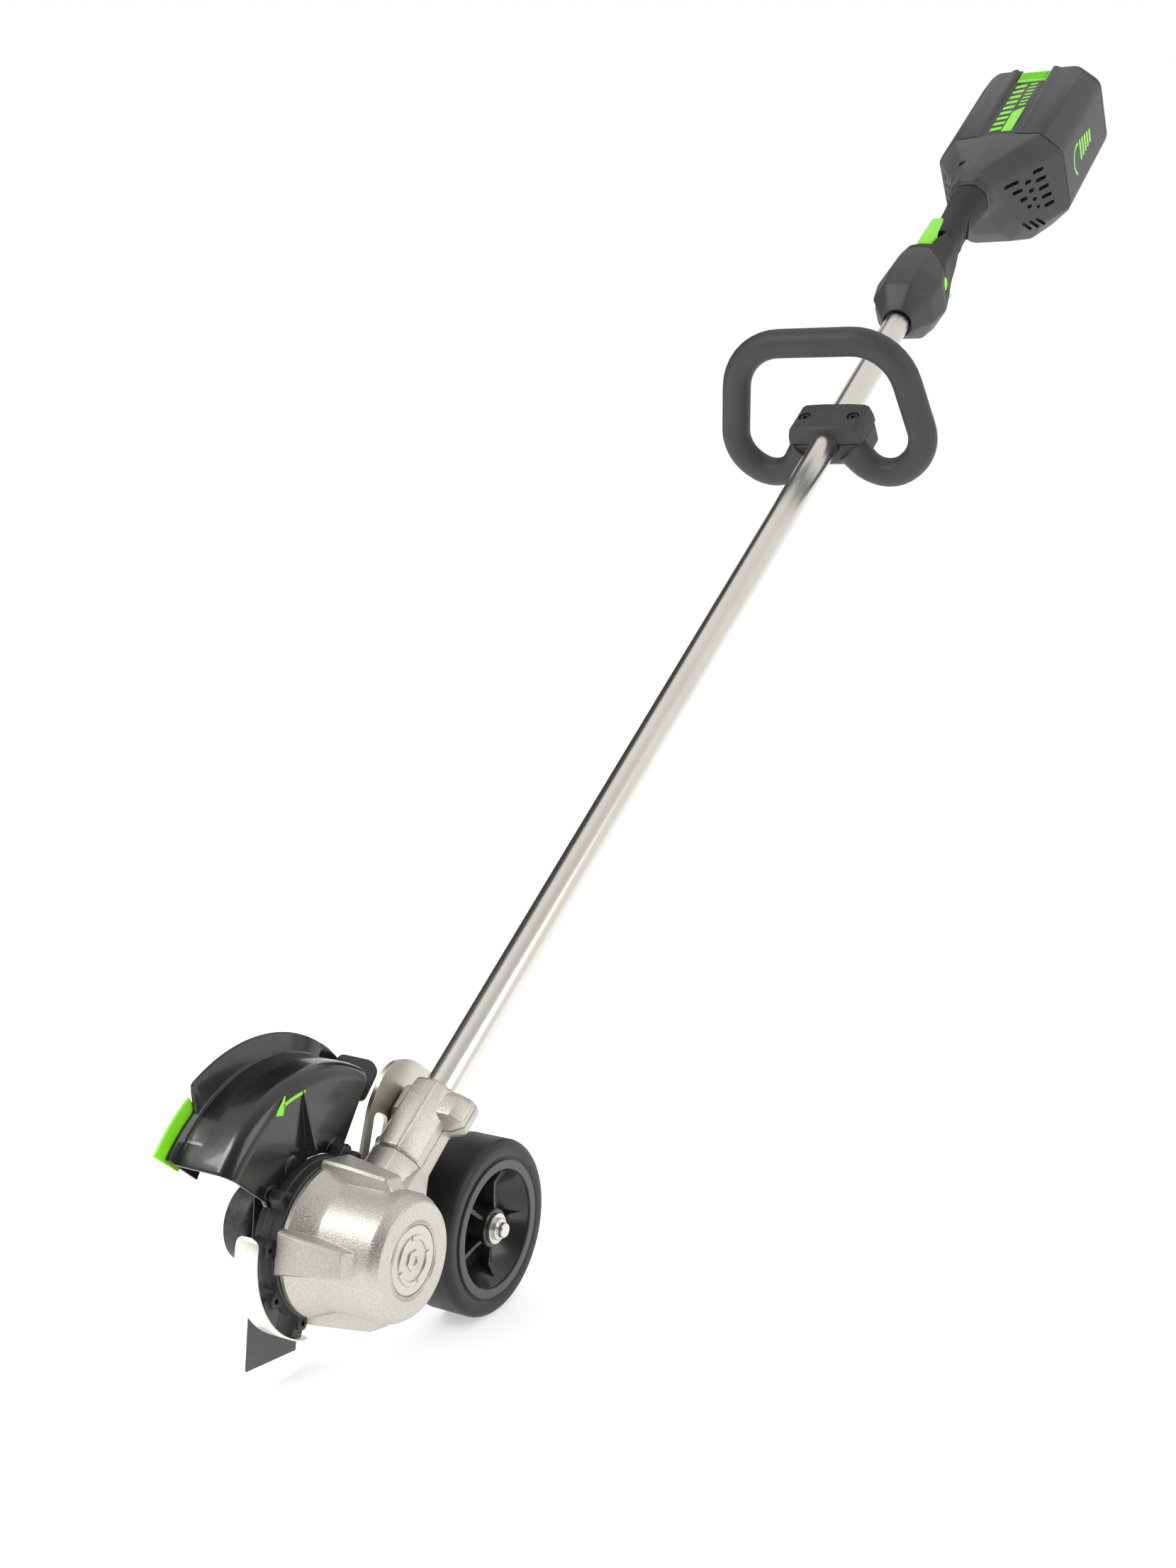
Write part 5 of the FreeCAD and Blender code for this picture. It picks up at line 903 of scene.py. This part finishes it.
VENTS = [
    (1608.0, -9.0, 18.0), (1610.0, -21.0, 18.0), (1612.0, -33.0, 18.0), (1614.0, -45.0, 18.0),
    (1616.0, -57.0, 18.0), (1591.4, -14.8, 10.4), (1594.0, -27.4, 8.4), (1596.6, -40.0, 6.6),
    (1599.6, -51.6, 4.8), (1567.6, -5.4, 25.0), (1574.6, -18.6, 17.0), (1581.4, -32.0, 11.6),
    (1587.8, -45.0, 7.2)]
slots = []
for i, (along, height, long) in enumerate(VENTS):
    slot = slab(f"vent_{i}", [(-long / 2, -2.3), (long / 2, -2.3), (long / 2, 2.3), (-long / 2, 2.3)], -9.0,
                14.0, 1.9, 4)
    slots.append(moved(slot, facet_frame(along, height)))
for i in range(3):
    slot = slab(
        f"low_vent_{i}", [(-12.0, -1.7), (12.0, -1.7), (12.0, 1.7), (-12.0, 1.7)], -9.0, 14.0, 1.4, 4)
    slots.append(moved(slot, facet_frame(1582.0 + 9.5 * i, -69.0 - 2.2 * i) @ spun(-38.0)))
combined(bell_right, slots, "DIFFERENCE")
bell_left = mirrored(bell_right, "grip_shell_left_bell")
bell_pockets = [rounded(f"bell_pocket_{i}", (-x - 8.0, along, n - 4.6), (-x, along + 10.0, n + 10), 1.6)
                for i, (x, along, n) in enumerate(((17.0, 1568.0, 22.0), (27.0, 1552.0, 8.0)))]
combined(bell_left, bell_pockets, "DIFFERENCE")
for part, side in ((fore_right, "right"), (bell_right, "right"), (fore_left, "left"), (bell_left, "left")):
    replaced = [f"grip_shell_{side}"] if part in (fore_right, fore_left) else []
    fitted(part, SHAFT, shell_nylon, "frame", "grey_plastic", *replaced, smooth=24.0)

# ---------------------------------------------------------------- grip sleeve
# Soft rubber moulded over the shells from behind the fore housing to the collar, waisted for the hand.
# Three slanted grey inlays on each flank mark the palm.
grip_rubber = Paint("grip_rubber", Specular_IOR_Level=0.35)
soft_skin = grip_rubber.noise(0.0008, 2.0)
handled = grip_rubber.noise(0.02, 3.0)
grip_rubber.put("Base Color", grip_rubber.mixed(handled, grey(0.008), grey(0.013)))
grip_rubber.put("Roughness", grip_rubber.spread(soft_skin + handled * 0.5, 0.4, 1.1, 0.42, 0.62))
grip_rubber.bump(soft_skin, 0.00010)


def oval_ring(along, tilt, half, high, low, square=0.9, count=32):
    """A soft four-sided ring about the shaft, tilted with height."""
    ring = []
    for i in range(count):
        a = 2 * math.pi * i / count
        c, s = math.cos(a), math.sin(a)
        x = half * math.copysign(abs(c) ** square, c)
        n = (high if s > 0 else low) * abs(s) ** square * (1 if s > 0 else -1)
        ring.append((x, along + tilt * n, n))
    return ring


sleeve = drawn("grip_sleeve_skin", [
    oval_ring(1400.0, 0.0, 20.0, 20.6, 23.0), oval_ring(1412.0, 0.0, 19.6, 20.4, 21.4),
    oval_ring(1426.0, 0.0, 18.8, 20.2, 20.0), oval_ring(1446.0, 0.0, 18.2, 19.8, 19.0),
    oval_ring(1470.0, 0.0, 18.6, 20.0, 19.0), oval_ring(1492.0, 0.0, 20.0, 21.0, 20.0),
    oval_ring(1510.0, 0.0, 21.6, 22.0, 21.6), oval_ring(1520.0, 0.0, 22.4, 22.6, 22.6),
    oval_ring(1521.8, 0.0, 21.6, 21.8, 21.8)])
swell = sleeve.modifiers.new("swell", "SUBSURF")
swell.levels = swell.render_levels = 2
applied(sleeve)
combined(sleeve, [brick("trigger_gap", (-7.4, 1350.0, -60.0), (7.4, 1414.0, -10.0)),
                  brick("lever_gap", (-7.0, 1360.0, 9.0), (7.0, 1416.0, 40.0))], "DIFFERENCE")
fitted(sleeve, SHAFT, grip_rubber, "frame", "grip_rubber", "grip_sleeve", smooth=40.0)
for boot in (boot_right, boot_left):
    fitted(boot, SHAFT, grip_rubber, "frame", "grip_rubber", smooth=24.0)
for i in range(3):
    for side in (-1, 1):
        inlay = drawn(f"inlay_{i}_{'left' if side < 0 else 'right'}", [
            [(side * reach, 1399.5 + 28.0 * i + dy, n)
             for dy, n in eased([(-11.0, -9.0), (-6.0, -9.0), (11.0, 5.0), (6.0, 5.0)], 2.0)]
            for reach in (14.0, 19.6 - 0.9 * (i == 1))])
        fitted(inlay, SHAFT, shell_nylon, "frame", "grey_plastic", smooth=30.0)

# ---------------------------------------------------------------- trigger, lock-off lever and power button
# Three green acetal mouldings: the trigger and its lock-off lever swing on pins between the shells.
trigger = drawn("trigger_skin", [
    [(x, GRIP_FROM + along, n) for along, n in (
        (-42, -15), (-12, -15), (-3, -20), (-4, -30), (-6.4, -38), (-6, -46), (-1, -52.6), (0.6, -55.4),
        (-3, -56.6), (-9, -53.6), (-16, -46), (-20, -38), (-23, -31), (-30, -28), (-40, -27))]
    for x in (-6.4, 6.4)])
softened(trigger, 1.6, 4, 40.0)
fitted(trigger, SHAFT, green, "trigger_body", "green_plastic", "trigger", smooth=50.0)
lever = drawn("lock_off_lever_skin", [[(x, GRIP_FROM + along, n) for along, n in (
    (-30, 9), (-16, 9), (-13, 22), (-6, 28), (4, 30), (13, 31), (18, 33), (17, 36), (10, 37), (-12, 37.4),
    (-40, 37.6), (-45, 36), (-44, 31), (-36, 27), (-30, 20))] for x in (-6.4, 6.4)])
softened(lever, 2.6, 5, 40.0)
fitted(lever, SHAFT, green, "lock_off", "green_plastic", "lock_off_lever", smooth=50.0)
button = turned(
    "power_button_skin",
    [(0, 24.0), (8.4, 24.0), (8.4, 33.0), (7.9, 33.8), (6.6, 34.2), (5.8, 33.8), (0, 33.4)], steps=48)
fitted(button, SHAFT @ Matrix.Translation((0, *BUTTON_AT)) @ across, green, "power_switch", "green_plastic",
       "power_button")

# ---------------------------------------------------------------- battery bay
# An eight-sided nylon sleeve that holds the pack; two ridges run along its top, beside a dark label.
bay_outer = [(0.0, 18.6), (20.5, 18.6), (24.0, 21.6), (28.0, 22.6), (34.0, 21.6), (54.0, 20.6),
             (79.4, -5.0), (79.4, -82.0), (52.0, -103.8)]
bay_rear = [(0.0, 18.0), (20.5, 18.0), (23.0, 24.4), (27.4, 25.0), (34.0, 21.8), (54.0, 20.6), (79.4, -5.0),
            (79.4, -82.0), (52.0, -103.8)]
BAY_SOFT = [0.0, 1.0, 2.0, 2.0, 4.0, 10.0, 9.0, 8.0, 8.0]


def closed(half):
    """A whole outline from its right half, top centre first."""
    return half[1:] + [(-x, n) for x, n in reversed(half[1:])]


def section(along, half, soft=0.0):
    """A whole ring of the bay at a place, from its right half, with eased corners."""
    soft = soft[1:] + soft[:0:-1] if isinstance(soft, list) else soft
    return [(x, along, n) for x, n in eased(closed(half), soft)]


def taken_in(half, inset):
    """The bay's outline drawn in by a wall, for the room inside it."""
    return [(max(x - inset, 0.0), n - inset if n > 0 else n + inset * (0.4 if n > -60 else 1.0))
            for x, n in half]


PLAIN = [(0.0, 20.0), (30.0, 20.0), (54.0, 20.0), (79.5, -5.0), (79.5, -82.0), (52.0, -104.0)]


def shrunk(ring, along, share):
    """A ring moved to another place and scaled about the shaft."""
    return [(x * share, along, n * share) for x, _, n in ring]


front_ring, rear_ring = section(BAY_FROM, bay_outer, BAY_SOFT), section(BAY_TO, bay_rear, BAY_SOFT)
bay = drawn("battery_bay_skin", [
    shrunk(front_ring, BAY_FROM + 0.3, 0.984), shrunk(front_ring, BAY_FROM + 1.6, 1.0),
    shrunk(rear_ring, BAY_TO - 1.2, 1.0), shrunk(rear_ring, BAY_TO, 0.986)])
bay_room = drawn(
    "bay_room", [section(along, taken_in(PLAIN, 3.2), 4.0) for along in (BAY_FROM + 10, BAY_TO + 6)])
latch_notch = rounded("latch_notch", (-20.6, 1800.0, 10.0), (20.6, 1836.0, 40.0), 0.8)
combined(bay, [bay_room, latch_notch], "DIFFERENCE")
fitted(bay, SHAFT, shell_nylon, "frame", "grey_plastic", "battery_bay", smooth=30.0)
label_black = fine_finish(
    "label_black", 0.0006, (grey(0.006), grey(0.012)), (0.28, 0.4), 0.00002, Coat_Roughness=0.15)
label = rounded("label_panel", (-16.4, 1662.0, 17.0), (17.0, 1798.0, 18.5), 0.3, 2)
fitted(label, SHAFT, label_black, "frame", "grey_plastic")
LABEL_TOP = 18.45
stripe = slab("label_stripe", [(0.0, 1664.0), (13.0, 1664.0), (13.0, 1728.0), (0.0, 1716.0)], LABEL_TOP,
              LABEL_TOP + 0.3)
fitted(stripe, SHAFT, green, "frame", "green_plastic")
for i in range(9):
    start = 1666.0 + i * 14.4
    bar = slab(
        f"label_bar_{i}", [(-15.5, start), (-1.8, start + 3.5), (-1.8, start + 11.0), (-15.5, start + 7.5)],
        LABEL_TOP, LABEL_TOP + 0.3)
    fitted(bar, SHAFT, green, "frame", "green_plastic")
for i in range(7):
    start = 1732.0 + i * 9.4
    bar = slab(
        f"label_tick_{i}", [(2.4, start), (11.6, start + 1.8), (11.6, start + 5.8), (2.4, start + 4.0)],
        LABEL_TOP, LABEL_TOP + 0.3)
    fitted(bar, SHAFT, green, "frame", "green_plastic")
flank = Matrix(((0, 0, 1, 0), (1, 0, 0, 0), (0, 1, 0, 0), (0, 0, 0, 1)))
mark_arc = [(1702.0 + r * math.cos(math.radians(a)), -44.0 + r * math.sin(math.radians(a)))
            for r, turns in ((20.0, range(72, 245, 12)), (16.4, range(240, 67, -12))) for a in turns]
mark_frame = slab("side_mark_frame", mark_arc, 79.0, 79.48)
fitted(mark_frame, SHAFT @ flank, green, "frame", "green_plastic")
for i in range(5):
    left = 1711.0 + i * 10.6
    bar = slab(f"side_mark_bar_{i}", eased([
        (left, -50.5 + i * 0.4), (left + 6.6, -51 + i * 0.4), (left + 8.0, -25.5 - i * 1.7),
        (left + 1.4, -25.0 - i * 1.7)], 1.5), 79.0, 79.48)
    fitted(bar, SHAFT @ flank, green, "frame", "green_plastic")

# ---------------------------------------------------------------- battery pack and its latch
# The pack is a nylon box of cells that slides in from the rear; its end cap stands a little out of the bay.
pack_black = fine_finish(
    "pack_black", 0.0009, (grey(0.034), grey(0.046)), (0.40, 0.55), 0.00008, Specular_IOR_Level=0.45)
tail_half = [(0.0, 19.0), (30.0, 19.0), (53.4, 19.0), (78.9, -5.4), (78.9, -81.6), (51.6, -103.2)]
pack = drawn("battery_pack_skin", [section(along, half, 8.0) for along, half in (
    (1674.0, taken_in(PLAIN, 6.0)), (1678.0, taken_in(PLAIN, 4.0)), (BAY_TO + 0.2, taken_in(PLAIN, 4.0)),
    (BAY_TO + 0.8, taken_in(tail_half, 0.8)), (BAY_TO + 1.8, tail_half), (BAY_TO + 6.4, tail_half),
    (BAY_TO + 8.6, taken_in(tail_half, 1.2)), (BAY_TO + 10.6, taken_in(tail_half, 3.6)),
    (BAY_TO + 11.8, taken_in(tail_half, 7.0)))])
latch_pocket = rounded("latch_pocket", (-20.6, 1800.0, 8.0), (20.6, 1842.0, 40.0), 0.8)
end_panel = rounded("end_panel", (-44.0, BAY_TO + 10.6, -86.0), (44.0, BAY_TO + 16.0, -2.0), 1.0)
grooves = [rounded(
    f"pack_groove_{i}", (-60.0 + i, 1700.0 + 16 * i, 15.2), (60.0 - i, 1703.0 + 16 * i, 20.0), 0.4, 2)
           for i in range(5)]
combined(pack, [latch_pocket, end_panel] + grooves, "DIFFERENCE")
fitted(pack, SHAFT, pack_black, "battery", "black_plastic", "battery_pack", smooth=30.0)
for i in range(4):
    lamp = rounded(f"charge_lamp_{i}", (-21.0 + i * 11.0, BAY_TO + 10.0, -24.0),
                   (-13.0 + i * 11.0, BAY_TO + 11.4, -20.0), 0.5)
    fitted(lamp, SHAFT, green, "battery", "green_plastic")
latch = rounded("battery_latch_skin", (-19.8, 1801.2, 11.2), (19.8, 1828.6, 18.6), 2.0)
knurl = []
for row in range(5):
    for column in range(11):
        stud = slab(f"stud_{row}_{column}", [(-1.3, 0), (0, -1.3), (1.3, 0), (0, 1.3)], 18.2, 19.7)
        knurl.append(moved(stud, Matrix.Translation((-15.5 + column * 3.1, 1808.0 + row * 3.7, 0))))
bpy.ops.object.select_all(action="DESELECT")
for stud in [latch] + knurl:
    stud.select_set(True)
bpy.context.view_layer.objects.active = latch
bpy.ops.object.join()
fitted(latch, SHAFT, green, "latch", "green_plastic", "battery_latch", smooth=35.0)

# ---------------------------------------------------------------- screws, bolts and the parts inside
# Bought-in and hidden parts keep the shapes they have, each with the finish of its own metal or plastic.
screw_steel = fine_finish(
    "black_oxide", 0.002, (grey(0.035), grey(0.075)), (0.32, 0.5), 0.00005, 0.0004, detail=3.0,
    Metallic=0.9)
copper = Paint("enamelled_copper", Metallic=0.9)
turns = copper.node(
    "ShaderNodeTexWave", {"bands_direction": "Z"},
    {"Vector": copper.place, "Scale": 260.0, "Distortion": 1.5}, "Fac")
copper.put("Base Color", copper.mixed(turns, (0.40, 0.12, 0.035, 1), (0.72, 0.28, 0.10, 1)))
copper.put("Roughness", copper.spread(turns, 0.0, 1.0, 0.28, 0.42))
copper.bump(turns, 0.0001)
cell_wrap = fine_finish("cell_wrap", 0.004, ((0.02, 0.16, 0.30, 1), (0.03, 0.22, 0.38, 1)), (0.25, 0.4))
laminate = Paint("board_laminate")
traces = laminate.node(
    "ShaderNodeTexBrick", None, {"Vector": laminate.place, "Scale": 90.0, "Mortar Size": 0.03}, "Fac")
laminate.put("Base Color", laminate.mixed(traces, (0.01, 0.12, 0.04, 1), (0.05, 0.28, 0.12, 1)))
laminate.put("Roughness", laminate.spread(traces, 0.0, 1.0, 0.3, 0.45))
sheath = fine_finish("cable_sheath", 0.001, (grey(0.010), grey(0.020)), (0.4, 0.6))
DRESSES = [
    (screw_steel, [
        "neck_clamp_screws", "stator_core", "motor_screws", "guard_screws", "sight_rivets", "bracket_bolts",
        "shell_screws", "blade_nut", "rotor_magnets", "axle_nut", "handle_bolts", "handle_nuts"]),
    (zinc, ["front_bearing", "rear_bearing", "bay_terminals", "trigger_pin", "lever_pin", "spindle",
            "blade_seat", "rotor_core", "axle_washers", "axle_spacer"]), (cast_alloy, ["board_heat_sink"]),
    (sheath, ["trigger_switch", "wheel_bushes"]), (copper, ["stator_coils"]),
    (cell_wrap, ["battery_cells"]), (laminate, ["control_board"]),
    (sheath, ["motor_cable", "control_lead"]),]
for paint, names in DRESSES:
    for name in names:
        dressed(name, paint)

# ---------------------------------------------------------------- studio
# A white floor that glows a little, a large soft light from the upper left, a weaker one from the right.
# The room is dimmer on the side of the camera, and two dark cards give the metal its dark edges.
FLOOR_Z = -0.1145
floor = slab("floor", [(-40, -40), (40, -40), (40, 40), (-40, 40)], FLOOR_Z - 0.02, FLOOR_Z)
floor_white = Paint(
    "floor_white", Base_Color=grey(0.90), Roughness=0.9, Emission_Color=grey(1.0), Emission_Strength=0.45)
floor.data.materials.append(floor_white.material)
eye = bpy.data.objects.new("camera", bpy.data.cameras.new("camera"))
bpy.context.scene.collection.objects.link(eye)
eye.location = (0.8565, -1.0218, 0.5608)
eye.rotation_euler = (math.radians(90 - 10.06), 0, math.radians(30.18))
eye.data.lens = 43.716
bpy.context.scene.camera = eye


def soft_light(name, place, aim, size, power):
    """A square area light at a place, turned to face a point."""
    light = bpy.data.objects.new(name, bpy.data.lights.new(name, "AREA"))
    light.data.shape, light.data.size, light.data.energy = "SQUARE", size, power
    light.location = place
    light.rotation_euler = (Vector(aim) - Vector(place)).to_track_quat("-Z", "Y").to_euler()
    bpy.context.scene.collection.objects.link(light)


soft_light("key", (-1.6, -2.2, 3.2), (0.0, 0.6, 0.4), 1.6, 70.0)
soft_light("fill", (2.8, 0.2, 1.8), (0.0, 0.6, 0.4), 1.8, 24.0)
for name, place, wide, high in (
    ("card_left", (-2.4, 1.6, 1.5), 2.6, 3.4), ("card_back", (-0.9, 3.4, 0.9), 1.1, 2.0)):
    card = brick(name, (-wide / 2, -0.01, -high / 2), (wide / 2, 0.01, high / 2))
    card.data.transform(
        (Vector((0.0, 0.5, 0.4)) - Vector(place)).to_track_quat("Y", "Z").to_matrix().to_4x4())
    card.data.transform(Matrix.Translation(place))
    card.data.materials.append(Paint(name, Base_Color=grey(0.02), Roughness=1.0).material)
    card.visible_camera = card.visible_shadow = card.visible_diffuse = False
world = bpy.data.worlds.new("studio")
bpy.context.scene.world = world
world.use_nodes = True
sky = world.node_tree.nodes["Background"]
sky.inputs["Color"].default_value = (1, 1, 1, 1)
ways = world.node_tree.nodes.new("ShaderNodeTexCoord")
toward = world.node_tree.nodes.new("ShaderNodeVectorMath")
toward.operation = "DOT_PRODUCT"
toward.inputs[1].default_value = (0.55, -0.80, 0.22)
shade = world.node_tree.nodes.new("ShaderNodeMapRange")
for socket, value in (("From Min", 0.15), ("From Max", 0.85), ("To Min", 1.0), ("To Max", 0.22)):
    shade.inputs[socket].default_value = value
world.node_tree.links.new(ways.outputs["Generated"], toward.inputs[0])
world.node_tree.links.new(toward.outputs["Value"], shade.inputs["Value"])
world.node_tree.links.new(shade.outputs["Result"], sky.inputs["Strength"])
bpy.context.scene.view_settings.view_transform = "Standard"
